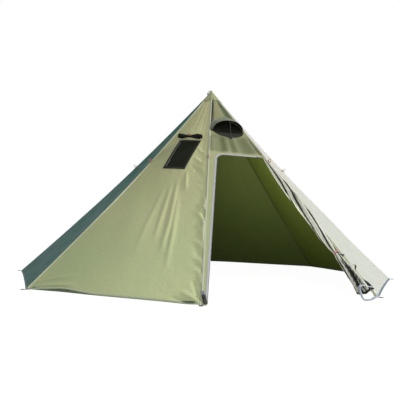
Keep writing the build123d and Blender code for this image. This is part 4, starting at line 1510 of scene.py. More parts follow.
@dataclass
class Canopy:
    """The tent's cloth, one sheet round all eight panels, with its seams and hems."""

    tip_cut: float = 0.045
    thickness: float = 0.0008
    plain_columns: int = 44
    fine_columns: int = 104
    door_columns: tuple[int, int, int] = (16, 28, 12)
    # Painted light and shade, one tone for each panel: the front right and right panels are paled as if in
    # sun glare, the left panel is darkened to a teal shade, and the back left a little.
    painted_light_tones: tuple[Colour, ...] = (
        (0.98, 0.97, 0.95),
        (1.72, 1.58, 2.6),
        (1.4, 1.35, 1.9),
        (1.05, 1.06, 1.2),
        (1.0, 1.0, 1.0),
        (0.7, 0.85, 0.95),
        (0.07, 0.34, 0.46),
        (1.0, 1.0, 1.0),
    )
    # Painted light on the inside of the right panel, as if the sun shone through the cloth there.
    right_inner_painted_light: Colour = (1.2, 1.2, 0.8)
    hem_section: Section = (
        (0.0008, 0.0002), (0.014, 0.0002), (0.0145, 0.0008), (0.008, 0.0013), (0.001, 0.0014),
        (0.0, 0.0004),
    )
    lining_section: Section = ((0.004, -0.0012), (0.026, -0.0012), (0.026, -0.0022), (0.004, -0.0022))
    hem_half: float = 0.007
    lining_lift: float = 0.15
    shadow_strip_span: tuple[float, float] = (1.615, 2.085)
    shadow_strip_in: float = 0.0105
    cap_top: float = 1.6075
    cap_tone: float = 0.98
    slopes: Array = field(default_factory=lambda: np.zeros(0))

    def rows(self) -> Array:
        """The slopes of the sheet's rows, closer where an opening turns."""
        top = SHAPE.slant - self.tip_cut
        bottom, crown = DOOR.vent_bottom(), DOOR.vent_top()
        arc = DOOR.top - DOOR.corner * (1 - np.sin(np.linspace(0, math.pi / 2, 15)))
        flat = DOOR.vent_flat / DOOR.vent_half
        low_bowl = DOOR.vent_line - DOOR.vent_drop * np.cos(np.linspace(math.asin(flat), math.pi / 2, 10))
        high_bowl = DOOR.vent_line + DOOR.vent_rise * np.sin(np.linspace(0, math.acos(flat), 16))
        parts = [
            np.linspace(0, 0.04, 6),
            np.linspace(0.04, DOOR.top - DOOR.corner, 84),
            arc,
            np.linspace(DOOR.top, bottom, 22),
            low_bowl,
            high_bowl,
            np.linspace(crown, top, 28),
        ]
        slopes = np.sort(np.concatenate(parts))
        keep = np.concatenate([[True], np.diff(slopes) > 1e-5])
        return slopes[keep]

    def build(self) -> None:
        """Builds the sheet and everything sewn to it."""
        self.slopes = self.rows()
        self.build_sheet()
        self.build_seams()
        self.build_hems()
        self.build_guy_points()
        self.build_apex()
        self.build_peg_tabs()

    def build_sheet(self) -> None:
        """The one sheet that all the panels are parts of."""
        slopes, mesh = self.slopes, SheetMesh()
        half = SHAPE.half_width(slopes)
        seams = [mesh.add(SHAPE.cloth(k, half, slopes)) for k in range(SHAPE.sides)]
        for panel in range(SHAPE.sides):
            left, right = seams[panel - 1], seams[panel]
            if panel == Panel.FRONT:
                self.fill_front(mesh, left, right)
                continue
            columns = self.fine_columns if panel == Panel.FRONT_LEFT else self.plain_columns
            s = np.linspace(-1, 1, columns + 1)
            if panel == Panel.FRONT_LEFT:
                s = s + 0.18 * (1 - s**2) * (0.6 + 0.4 * s)
            u = half[:, None] * s[None]
            v = np.repeat(slopes[:, None], columns + 1, 1)
            v = v + SHAPE.hem_lift(panel, u) * np.clip(1 - v / 0.16, 0, 1)
            u = SHAPE.half_width(v) * s[None]
            inner = mesh.add(SHAPE.cloth(panel, u[:, 1:-1], v[:, 1:-1]))
            self.fill(mesh, np.hstack([left[:, None], inner, right[:, None]]), u, v, panel)
        sheet = mesh.make("canopy_sheet")
        FINISHES.dress(sheet, "canopy_outer", "canopy_inner")
        thicken(sheet, self.thickness)
        panels = [f"{p.name.lower()}_panel" for p in Panel if p is not Panel.FRONT]
        front = ["front_lintel_panel", "front_top_panel", "door_jamb_left", "door_jamb_right"]
        enter(sheet, panels + front)

    def fill(
        self, mesh: SheetMesh, ids: Array, u: Array, v: Array, panel: int, keep: Optional[Array] = None
    ) -> None:
        """Adds the faces of one grid of a panel.

        Args:
            mesh: The sheet's mesh.
            ids: The grid's vertex numbers.
            u: Its places along the panel's foot.
            v: Its places up the slope.
            panel: The panel's number.
            keep: Which rows of faces are cloth; all of them where it is left out.
        """
        quads, places = grid_faces(ids)
        use = np.ones(len(quads), bool) if keep is None else keep[places[::4, 0]]
        at = places[np.repeat(use, 4)]
        cloth = corner_cloth(at, u, v)
        inner = self.right_inner_painted_light if panel == Panel.RIGHT else (1.0, 1.0, 1.0)
        mesh.faces.extend(quad for quad, ok in zip(quads, use) if ok)
        mesh.kept["cloth"].append(cloth)
        mesh.kept["tone"].append(self.tone(panel, cloth[:, 0], cloth[:, 1]))
        mesh.kept["inner_painted_light"].append(np.repeat([inner], len(at), 0))

    def tone(self, panel: int, u: Array, v: Array) -> Array:
        """The painted light and shade of a panel's cloth at u, v.

        Args:
            panel: The panel's number.
            u: Places along the panel's foot.
            v: Places up the slope.

        Returns:
            One tone for each place.
        """
        base = np.array(self.painted_light_tones[panel])
        tone = np.repeat(base[None], len(u), 0)
        if panel == Panel.FRONT_LEFT:
            # Painted light: the front left panel is paled towards its right-hand seam.
            across = ease((u / SHAPE.half_width(v) + 1) / 1.9)[:, None]
            tone = tone * (np.array([1.08, 1.05, 1.0]) * (1 - across) + np.array([1.72, 1.62, 1.62]) * across)
        if panel == Panel.FRONT:
            # Painted shade on the front panel: darker over the door's head under the vent hood, darker above
            # the vent, and a painted shadow on its right half above the vent.
            lintel = ease((v - 1.34) / 0.03) * ease((1.60 - v) / 0.06)
            above = ease((v - 1.56) / 0.06)
            tone = tone * (1 - lintel[:, None] * np.array([0.50, 0.47, 0.52]))
            tone = tone * (1 - above[:, None] * np.array([0.30, 0.32, 0.38]))
            s = u / SHAPE.half_width(v)
            shaded = ease((v - 1.60) / 0.05) * ease((s - 0.12) / 0.3)
            tone = tone * (1 - shaded[:, None] * np.array([0.55, 0.42, 0.42]))
        return tone

    def fill_front(self, mesh: SheetMesh, left: Array, right: Array) -> None:
        """The front panel, round the door and the vent.

        Args:
            mesh: The sheet's mesh.
            left: Vertex numbers of the seam on its left.
            right: Vertex numbers of the seam on its right.
        """
        slopes = self.slopes
        half = SHAPE.half_width(slopes)
        edge_left, edge_right = DOOR.edges(slopes)
        a, b, c = self.door_columns
        blocks = []
        for start, end, columns in ((-half, edge_left, a), (edge_left, edge_right, b), (edge_right, half, c)):
            share = np.linspace(0, 1, columns + 1)[None]
            blocks.append(start[:, None] * (1 - share) + end[:, None] * share)
        every = np.hstack([blocks[0], blocks[1][:, 1:], blocks[2][:, 1:]])
        v = np.repeat(slopes[:, None], every.shape[1], 1)
        inner = mesh.add(SHAPE.cloth(Panel.FRONT, every[:, 1:-1], v[:, 1:-1]))
        ids = np.hstack([left[:, None], inner, right[:, None]])
        middle = (slopes[:-1] + slopes[1:]) / 2
        open_rows = (middle < DOOR.top) | ((middle > DOOR.vent_bottom()) & (middle < DOOR.vent_top()))
        for first, last, keep in ((0, a, None), (a, a + b, ~open_rows), (a + b, a + b + c, None)):
            part = slice(first, last + 1)
            self.fill(mesh, ids[:, part], every[:, part], v[:, part], Panel.FRONT, keep)

    def build_seams(self) -> None:
        """A felled seam on every ridge, and a dark binding inside it."""
        outer = [
            (-10, 0.1), (-10, 0.6), (-6, 0.9), (-2, 1.1), (0, 1.5), (2, 1.1), (6, 0.9), (10, 0.6),
            (10, 0.1), (0, 0.1),
        ]
        inner = [(-5, -1.1), (-5, -1.8), (0, -2.4), (5, -1.8), (5, -1.1), (0, -1.2)]
        strips = [("seam", outer, "seam_cloth"), ("inner_binding", inner, "seam_binding")]
        slopes = np.unique(np.concatenate([self.slopes[::2], self.slopes[-1:]]))
        for seam in range(SHAPE.sides):
            for kind, section, finish in strips:
                shape = [(a * MM, h * MM) for a, h in section]
                rings = SHAPE.over_seam(seam, slopes, shape)
                piece = loft(f"{kind}_{seam + 1}", rings, np.array([a for a, _ in shape]), slopes)
                if kind == "seam":
                    # Each side of the strip takes its panel's painted light and shade.
                    store_tone(piece, self.strip_painted_light(piece, seam))
                # The seam beside the left panel gets a painted highlight.
                bright = seam == Panel.LEFT and kind == "seam"
                FINISHES.dress(piece, "seam_painted_highlight" if bright else finish)
                stands = ["seam_tapes"] if (seam, kind) == (0, "seam") else []
                enter(piece, stands)
        self.build_shadow_strip()

    def strip_painted_light(self, piece: Piece, seam: int) -> Array:
        """The painted light and shade of a seam's strip: each side takes its own panel's.

        Args:
            piece: The strip.
            seam: The seam's number.

        Returns:
            One tone for each face corner.
        """
        values = np.zeros(len(piece.data.loops) * 3)
        piece.data.attributes["cloth"].data.foreach_get("vector", values)
        across = values.reshape(-1, 3)[:, :1]
        left, right = np.array(self.painted_light_tones[seam]), np.array(self.painted_light_tones[(seam + 1) % SHAPE.sides])
        return np.where(across < 0.0005, left, right)

    def build_shadow_strip(self) -> None:
        """A dark strip beside the front panel's left seam, above the vent: a painted shadow of the fold
        there.
        """
        slopes = np.linspace(*self.shadow_strip_span, 48)
        half = SHAPE.half_width(slopes)
        swell = 0.55 + 0.45 * np.sin(np.pi * np.linspace(0.08, 0.95, len(slopes)))
        rings = []
        section = (
            (self.shadow_strip_in, 0.0002), (self.shadow_strip_in, 0.0022), (0.0185, 0.0038), (0.0265, 0.0022),
            (0.0265, 0.0002),
        )
        for across, height in section:
            reach = self.shadow_strip_in + (across - self.shadow_strip_in) * swell
            rings.append(SHAPE.cloth(Panel.FRONT, -half + reach, slopes, height))
        piece = loft("painted_shadow_strip", np.stack(rings, 1), np.array([-0.004, -0.004, 0, 0.004, 0.004]), slopes)
        # The black binding finish here is painted shadow.
        FINISHES.dress(piece, "seam_binding")
        enter(piece)

    def build_hems(self) -> None:
        """A turned-up hem round the foot, outside, and its lining inside, dark with painted shade under the
        lifted foot.
        """
        foot = SHAPE.half_base
        for panel in range(SHAPE.sides):
            spans = [(-1.0, 1.0)]
            if panel == Panel.FRONT:
                spans = [(-1.0, DOOR.left(0.01) / foot), (DOOR.right(0.01) / foot, 1.0)]
            for index, (start, end) in enumerate(spans):
                s = np.linspace(start, end, max(6, int(70 * (end - start) / 2)))
                self.build_hem("hem", self.hem_section, panel, index, s)
                self.build_hem("hem_shade_lining", self.lining_section, panel, index, s)

    def build_hem(self, kind: str, section: Section, panel: int, index: int, s: Array) -> None:
        """One stretch of a panel's hem, or of its lining.

        Args:
            kind: What it is, hem or hem_shade_lining.
            section: (up, height) pairs across the strip.
            panel: The panel's number.
            index: Which stretch of the panel's foot it is.
            s: Places along the foot, from -1 at the left seam to 1 at the right.
        """
        outside = kind == "hem"
        along = s * SHAPE.half_base
        lift = SHAPE.hem_lift(panel, along) if panel else 0 * s
        if not outside:
            lift = self.lining_lift * lift
        rings = []
        for up, height in section:
            v = np.maximum(up, 0.0006) + lift
            rings.append(SHAPE.cloth(panel, SHAPE.half_width(v) * s, v, height))
        across = np.array([up - self.hem_half for up, _ in section])
        piece = loft(f"{kind}_{panel + 1}_{index + 1}", np.stack(rings, 1), across, along)
        # hem_shade is painted shade: the dark underside where the foot lifts.
        finish = "hem_cloth" if outside else "hem_shade"
        # The outer hem takes its panel's painted light and shade.
        if outside:
            store_tone(piece, np.array(self.painted_light_tones[panel]))
        if panel == Panel.FRONT_RIGHT:
            finish = "hem_navy"
        FINISHES.dress(piece, finish)
        first = outside and (panel, index) == (0, 0)
        enter(piece, ["hem_tapes"] if first else [])

    def build_guy_points(self) -> None:
        """A stitched patch and a red cord loop part of the way up every seam."""
        slopes = 0.588 * SHAPE.slant + np.linspace(-0.017, 0.017, 9)
        section = [(-15, 1.2), (-15, 2.0), (-7, 2.3), (0, 2.9), (7, 2.3), (15, 2.0), (15, 1.2), (0, 1.7)]
        shape = [(a * MM, h * MM) for a, h in section]
        for seam in range(SHAPE.sides):
            rings = SHAPE.over_seam(seam, slopes, shape)
            patch = loft(f"guy_patch_{seam + 1}", rings, np.array([a for a, _ in shape]), slopes)
            FINISHES.dress(patch, "patch_cloth")
            enter(patch, ["guy_patches"] if seam == 0 else [])
            out = SHAPE.seam_out(seam)
            along = unit(rings[-1, 3] - rings[0, 3])
            turns = ((-5, 0.8), (-9, 9), (-7, 18), (0, 22.5), (7, 18), (9, 9), (5, 0.8), (0, 1.2))
            path = curve_through(place_knots(rings[4, 3], along, out, turns), 44, loop=True)
            normals = carry_normals(path, np.cross(along, out), True)
            cord = sweep(f"guy_loop_{seam + 1}", path, normals, round_section(0.0017), True)
            FINISHES.dress(cord, "red_cord")
            enter(cord, ["guy_loops"] if seam == 0 else [])

    def build_apex(self) -> None:
        """The soft cap over the pole's end, and the loop that the tent hangs from."""
        slopes = np.concatenate([[0, 0.0002], np.linspace(0.006, 0.118, 16)])
        slopes = SHAPE.slant - 0.130 + slopes
        heights = np.concatenate([[0.0012, 0.0024], np.full(16, 0.0027)])
        rings = []
        for v, h in zip(slopes, heights):
            ring = []
            for panel in range(SHAPE.sides):
                s = np.linspace(-1, 1, 9)[:-1]
                swell = h + 0.0009 * np.abs(np.sin(s * 5 + panel)) * (1 - s**2)
                ring.append(SHAPE.cloth(panel, s * SHAPE.half_width(v), np.full(len(s), v), swell))
            rings.append(np.vstack(ring))
        rings = np.array(rings)
        last, top = rings[-1], self.cap_top
        for share in np.linspace(0, 1, 6)[1:]:
            flat = last[:, :2] * math.cos(share * math.pi / 2 * 0.985)
            height = last[:, 2:] + (top - last[:, 2:]) * math.sin(share * math.pi / 2)
            rings = np.concatenate([rings, np.hstack([flat, height])[None]])
        cap = loft("apex_cap_cloth", rings, across=np.arange(rings.shape[1]) * 0.004, caps=False)
        store_tone(cap, np.full(3, self.cap_tone))
        FINISHES.dress(cap, "canopy_outer", "canopy_inner")
        thicken(cap, 0.0009)
        enter(cap, ["apex_cap"])
        low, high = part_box("apex_loop")
        self.build_apex_loop(np.array((low + high) / 2))

    def build_apex_loop(self, middle: Array) -> None:
        """The webbing loop sewn on the back left seam, close to the top.

        Args:
            middle: The loop's middle.
        """
        seam = Panel.BACK_LEFT
        a = SHAPE.seam_angle(seam)
        along = unit(np.array([-math.cos(a), -math.sin(a), 1.0]))
        out = SHAPE.seam_out(seam)
        turns = (
            (-22, -5), (-14, -6), (0, -6), (14, -6), (22, -4), (22, 2), (12, 5), (0, 6), (-13, 5), (-22, 1),
        )
        path = curve_through(place_knots(middle, along, out, turns), 48, loop=True)
        normals = square_to(path, unit(path - path.mean(0)), True)
        section = flat_section(0.012, -0.0016, 0.0016, 0.0005)
        piece = sweep("apex_hanging_loop", path, normals, section, True)
        FINISHES.dress(piece, "black_webbing")
        enter(piece, ["apex_loop"])

    def build_peg_tabs(self) -> None:
        """A webbing tab at each corner, round an eyelet."""
        bore, half, inner, outer, nose, stand_off = 0.0060, 0.0125, -0.0190, 0.0145, 0.0135, 0.019
        turns = np.linspace(0, TURN, 64, endpoint=False)
        across = np.array([0, 0.001, 0.01, 0.011, 0.012, 0.02, 0.021])
        for seam in range(SHAPE.sides):
            a = SHAPE.seam_angle(seam)
            out = np.array([math.cos(a), math.sin(a), 0.0])
            side = np.array([-math.sin(a), math.cos(a), 0.0])
            centre = out * (SHAPE.corner_radius + stand_off)
            rings = []
            for turn in turns:
                x, y = math.cos(turn), math.sin(turn)
                reach = min(half / max(abs(y), 1e-6), (outer if x > 0 else -inner) / max(abs(x), 1e-6))
                if x > 0:
                    reach = min(reach, nose)
                profile = (
                    (bore, 1.5), (bore + 0.0006, 1.25), (reach - 0.001, 1.25), (reach, 1.9),
                    (reach - 0.001, 2.75), (bore + 0.0006, 2.75), (bore, 2.4),
                )
                rings.append([
                    centre + out * x * r + side * y * r + np.array([0, 0, z * MM]) for r, z in profile
                ])
            name = f"peg_tab_{seam + 1}"
            piece = loft(name, np.array(rings), across=across, lengthwise=turns * 0.012, loop=True)
            FINISHES.dress(piece, "black_webbing")
            enter(piece, ["peg_tabs"] if seam == 0 else [])


@dataclass
class Door:
    """The zip round the doorway, and the door's cloth rolled along the right jamb."""

    tape_width: float = 0.016
    tape_out: float = 0.006
    coil_setback: float = 0.004
    start: float = 0.014
    end_in: float = 0.030
    teeth: int = 560
    tooth_reach: float = 0.0017
    tooth_half: float = 0.00085
    roll_head: tuple[float, float, float] = (0.046, 1.285, 0.020)
    roll_foot: tuple[float, float, float] = (0.098, 0.022, 0.022)
    roll_start_turn: float = 0.6
    roll_twist: float = 1.25
    roll_core: float = 0.0028
    roll_radii: tuple[tuple[float, float], ...] = (
        (0.0, 0.009), (0.1, 0.022), (0.33, 0.037), (0.55, 0.033), (0.70, 0.022), (0.74, 0.013),
        (0.78, 0.024), (0.88, 0.040), (1.0, 0.050),
    )
    roll_turns: float = 7.5
    tie_at: float = 0.74

    def build(self) -> None:
        """Builds the zip, the roll and what ties it."""
        self.build_tape()
        self.build_teeth()
        self.build_roll()
        self.build_tie()
        self.build_base_loop()

    def zip_path(self, inset: float, end_in: float, start: float, count: int) -> tuple[Array, Array]:
        """The (u, v) line of the zip, inset into the doorway from its edge.

        Args:
            inset: How far into the doorway.
            end_in: How far short of the right edge the line stops.
            start: The slope where it starts.
            count: Points on the line.

        Returns:
            The points and the directions across the line, towards the cloth.
        """
        radius = DOOR.corner - inset
        head = DOOR.top - inset
        lean = DOOR.left(1.0) - DOOR.left(0.0)
        side_shift = inset * math.hypot(1, lean)
        tilt = math.atan(lean)
        across = DOOR.left(head - radius) + side_shift + radius * math.hypot(1, lean)
        centre = np.array([across, head - radius])
        first = centre + radius * np.array([-math.cos(tilt), math.sin(tilt)])
        rise = np.linspace(start, first[1], 90)
        up = np.stack([DOOR.left(rise) + side_shift, rise], 1)
        swing = np.linspace(math.pi - tilt, math.pi / 2, 26)[1:]
        arc = centre + radius * np.stack([np.cos(swing), np.sin(swing)], 1)
        end = DOOR.right(DOOR.top) - end_in
        flat = np.stack([np.linspace(arc[-1, 0], end, 24)[1:], np.full(23, head)], 1)
        line = np.vstack([up, arc, flat])
        far = np.concatenate([[0], np.cumsum(np.linalg.norm(np.diff(line, axis=0), axis=1))])
        spots = np.linspace(0, far[-1], count)
        line = np.stack([np.interp(spots, far, line[:, i]) for i in range(2)], 1)
        ahead = unit(np.gradient(line, axis=0))
        return line, np.stack([-ahead[:, 1], ahead[:, 0]], 1)

    def build_tape(self) -> None:
        """The woven tape that carries the zip."""
        centre = self.tape_out - self.tape_width / 2
        line, away = self.zip_path(centre, self.end_in, self.start, 260)
        section = flat_section(self.tape_width, 0.0002, 0.0010, 0.0006)
        rings = []
        for across, height in section:
            spot = line + away * across
            rings.append(SHAPE.cloth(Panel.FRONT, spot[:, 0], spot[:, 1], height))
        piece = loft("door_zip_tape", np.stack(rings, 1), np.array([a for a, _ in section]))
        FINISHES.dress(piece, "zip_tape")
        enter(piece, ["zip_tape"])

    def build_teeth(self) -> None:
        """The coil's teeth, one by one, along the tape's free edge."""
        line, away = self.zip_path(self.coil_setback, self.end_in + 0.006, self.start + 0.006, self.teeth)
        corners = np.array([(x, y, z) for z in (0, 1) for y in (-1, 1) for x in (-1, 1)], float)
        cube = [(0, 1, 3, 2), (4, 6, 7, 5), (0, 4, 5, 1), (2, 3, 7, 6), (0, 2, 6, 4), (1, 5, 7, 3)]
        ahead = unit(np.gradient(line, axis=0))
        points, faces = [], []
        for index in range(len(line)):
            shift = 0.00025 * (1 if index % 2 else -1)
            base = len(points) * 8
            reach = corners[:, :1] * self.tooth_reach * away[index]
            reach = reach + corners[:, 1:2] * self.tooth_half * ahead[index]
            spot = line[index] + reach + shift * away[index]
            height = 0.0011 + corners[:, 2] * (0.0013 + 0.0002 * (index % 2))
            points.append(SHAPE.cloth(Panel.FRONT, spot[:, 0], spot[:, 1], height))
            faces.extend(tuple(base + i for i in quad) for quad in cube)
        piece = make_piece("door_zip_teeth", np.vstack(points), faces, smooth=False)
        face_outward(piece)
        soften = piece.modifiers.new("soften", "BEVEL")
        soften.width, soften.segments = 0.0003, 1
        settle(piece)
        FINISHES.dress(piece, "zip_plastic")
        enter(piece, ["zip_coil"])

    def roll_axes(self) -> tuple[Array, Array, Array, Array, float]:
        """Where the roll lies.

        Returns:
            Its head, its directions along, out of the panel and to the left, and its length.
        """
        head, foot = (
            np.array([SHAPE.half_width(v) - inset, v, height])
            for inset, v, height in (self.roll_head, self.roll_foot)
        )
        _, right, up, out = SHAPE.axes(Panel.FRONT)
        basis = np.stack([right, up, out])
        along = unit(foot - head)
        left = unit(np.cross(along, [0, 0, 1]))
        outward = np.cross(left, along)
        start = SHAPE.flat(Panel.FRONT, head[0], head[1], head[2])
        return start, along @ basis, outward @ basis, left @ basis, float(np.linalg.norm(foot - head))

    def roll_radius(self, share: Array) -> Array:
        """The roll's radius along its length."""
        at, radius = np.array(self.roll_radii).T
        return np.interp(share, at, radius)

    def roll_turn(self, share: Array, wrap: Array) -> Array:
        """The angle round the roll of a place on its cloth."""
        return TURN * (self.roll_turns * wrap + self.roll_twist * share) + self.roll_start_turn

    def roll_groove(self, share: Array, wrap: Array) -> Array:
        """How far a place on the roll lies from its grooves, from 0 in one to 1 on a strand.

        Args:
            share: How far along the roll.
            wrap: How far out through its turns.

        Returns:
            The shares.
        """
        wave = SHAPE.waves
        strand = self.roll_turn(share, wrap) - TURN * 1.15 * share
        phase = strand + 0.45 * np.sin(strand + 6.0 * share) + 0.5 * wave[1].at(share * 5, share * 0)
        broad = np.abs(np.sin(1.5 * phase))
        fine = np.abs(np.sin(3.0 * phase + 9 * share))
        loose = 0.8 * ease((share - 0.76) / 0.05)
        return broad * (1 - loose) + np.minimum(broad, fine) * loose

    def roll_point(self, share: Array, wrap: Array) -> Array:
        """A point of the rolled cloth.

        Args:
            share: How far along the roll.
            wrap: How far out through its turns, from 0 at the core to 1 at the free edge.

        Returns:
            The points.
        """
        start, along, outward, left, length = self.roll_axes()
        wave = SHAPE.waves
        tied = np.exp(-(((share - self.tie_at) / 0.05) ** 2))
        radius = self.roll_radius(share)
        turn = self.roll_turn(share, wrap)
        depth = 0.55 * (1 - 0.6 * tied) * (0.8 + 0.2 * wave[0].at(share * 9, share * 0 + 2))
        lobes = 1 - depth * (1 - self.roll_groove(share, wrap) ** 0.75)
        lobes = lobes + 0.045 * np.sin(5 * turn + 22 * share) + 0.03 * np.sin(9 * turn - 31 * share)
        flap = 0.5 + 0.5 * wave[2].at(share * 11, share * 0)
        loose = 1 + 0.22 * ease((wrap - 0.9) / 0.1) * (1 - tied) * flap
        core = self.roll_core
        r = core + (radius * lobes * loose - core) * wrap
        spike_at = np.exp(-(((share - 0.85) / 0.016) ** 2))
        spike_turn = np.mod(turn - 5.2 + math.pi, TURN) - math.pi
        r = r + 0.062 * spike_at * np.exp(-((spike_turn / 0.5) ** 2)) * ease((wrap - 0.75) / 0.25)
        drift = 0.004 * np.sin(share * 11.0) * (1 - tied)
        flare = 1 + 0.45 * ease((share - 0.82) / 0.18)
        points = (
            start
            + (share * length)[..., None] * along
            + (r * np.cos(turn) * 0.92)[..., None] * outward
            + (r * np.sin(turn) * flare + drift)[..., None] * left
        )
        points[..., 2] = np.maximum(points[..., 2], 0.004 + 0.002 * wrap)
        return points

    def build_roll(self) -> None:
        """The door's cloth, one sheet wound into a twisted roll."""
        rows, columns = 190, 330
        share = np.linspace(0, 1, rows)
        wrap = np.linspace(0, 1, columns)
        wander = 0.010 * SHAPE.waves[3].at(wrap * 40, wrap * 0)
        grid = np.repeat(share[:, None], columns, 1)
        end = ease((grid - 0.93) / 0.07)
        grid = np.clip(grid + end * wander[None] - 0.012 * end, 0, 1)
        wraps = np.repeat(wrap[None], rows, 0)
        points = self.roll_point(grid, wraps)
        faces, places = grid_faces(np.arange(rows * columns).reshape(rows, columns))
        cloth = corner_cloth(places, wraps * 0.9, grid * 1.29)
        at = (grid[places[:, 0], places[:, 1]], wraps[places[:, 0], places[:, 1]])
        # Painted shade: the grooves between strands are darkened nearly to black, standing in also for the
        # dark lining turned out there.
        strand = ease((self.roll_groove(*at) - 0.48) / 0.2)
        tone = np.repeat((0.015 + 0.985 * strand)[:, None], 3, 1)
        piece = make_piece("rolled_door", points.reshape(-1, 3), faces, {"cloth": cloth, "tone": tone})
        normal = piece.data.polygons[(rows // 2) * (columns - 1) + columns - 2].normal
        centre = points[rows // 2].mean(0)
        if np.dot(np.array(normal), points[rows // 2, -2] - centre) < 0:
            piece.data.flip_normals()
        FINISHES.dress(piece, "roll_sunlit_outer", "roll_lining_and_shade")
        thicken(piece, 0.0007)
        enter(piece, ["door_roll"])
        self.build_edge_tape()

    def build_edge_tape(self) -> None:
        """The other half of the zip, on the roll's free edge, and its slack loop at the foot."""
        share = np.linspace(0.80, 0.985, 60)
        edge = self.roll_point(share, np.ones(60))
        start, along, _, _, length = self.roll_axes()
        axis = start + (share * length)[:, None] * along
        out = unit(edge - axis)
        path = edge + out * 0.0012
        tail = self.tail_points(path[-1])
        path = np.vstack([path, tail])
        normals = np.vstack([out, carry_normals(tail, out[-1])])
        for _ in range(4):
            normals[1:-1] = unit(normals[:-2] + 2 * normals[1:-1] + normals[2:])
        normals = square_to(path, normals)
        piece = sweep("rolled_edge_tape", path, normals, flat_section(0.014, -0.0006, 0.0006, 0.0004))
        FINISHES.dress(piece, "tail_tape")
        enter(piece)

    def tail_points(self, start: Array) -> Array:
        """The tape's loop on the ground, from the roll's foot to the front right peg.

        Args:
            start: Where the loop leaves the roll.

        Returns:
            The loop's points, without the first.
        """
        corner = SHAPE.flat(Panel.FRONT, SHAPE.half_base, 0.0)
        knots = [
            start,
            corner + np.array([-0.168, -0.026, 0.085]),
            corner + np.array([-0.185, -0.045, 0.048]),
            corner + np.array([-0.200, -0.100, 0.009]),
            corner + np.array([-0.150, -0.106, 0.009]),
            corner + np.array([-0.100, -0.066, 0.009]),
            corner + np.array([-0.008, -0.010, 0.014]),
        ]
        return curve_through(knots, 90)[1:]

    def build_tie(self) -> None:
        """The band round the roll and the strap that holds it to the seam."""
        start, along, outward, left, length = self.roll_axes()
        centre = start + along * self.tie_at * length
        turns = np.linspace(0, TURN, 56, endpoint=False)
        path = centre + 0.0152 * (np.cos(turns)[:, None] * outward + np.sin(turns)[:, None] * left)
        path = path + along * (0.0012 * np.sin(2 * turns))[:, None]
        normals = unit(path - centre)
        section = flat_section(0.009, -0.0007, 0.0007, 0.0004)
        band = sweep("door_tie_wrap", path, normals, section, True)
        FINISHES.dress(band, "pink_webbing")
        enter(band, ["door_tie_band"])
        low, high = (np.array(c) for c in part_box("door_tie_strap"))
        middle = (low + high) / 2
        _, right, _, out = SHAPE.axes(Panel.FRONT)
        reach = (high[0] - low[0]) / 2
        across = np.linspace(-reach, reach * 1.05, 20)
        lift = 0.003 * np.sin(np.pi * np.linspace(0, 1, 20)) ** 2
        strap_path = middle + across[:, None] * right + lift[:, None] * out
        strap = sweep("door_tie_tab", strap_path, np.repeat(out[None], 20, 0), section)
        FINISHES.dress(strap, "black_webbing")
        enter(strap, ["door_tie_strap"])

    def build_base_loop(self) -> None:
        """The webbing loop at the foot of the left jamb."""
        low, high = (np.array(c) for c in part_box("door_base_loop"))
        middle = (low + high) / 2
        _, _, up, out = SHAPE.axes(Panel.FRONT)
        turns = (
            (-30, -2.2), (-22, -3.6), (0, -3.8), (22, -3.6), (30, -2.0), (30, 1.6), (20, 3.6), (6, 4.4),
            (-8, 4.2), (-22, 3.4), (-30, 1.4),
        )
        path = curve_through(place_knots(middle, up, out, turns), 60, loop=True)
        normals = square_to(path, unit(path - middle), True)
        piece = sweep("door_base_webbing", path, normals, flat_section(0.020, -0.0007, 0.0007, 0.0005), True)
        FINISHES.dress(piece, "black_webbing")
        enter(piece, ["door_base_loop"])


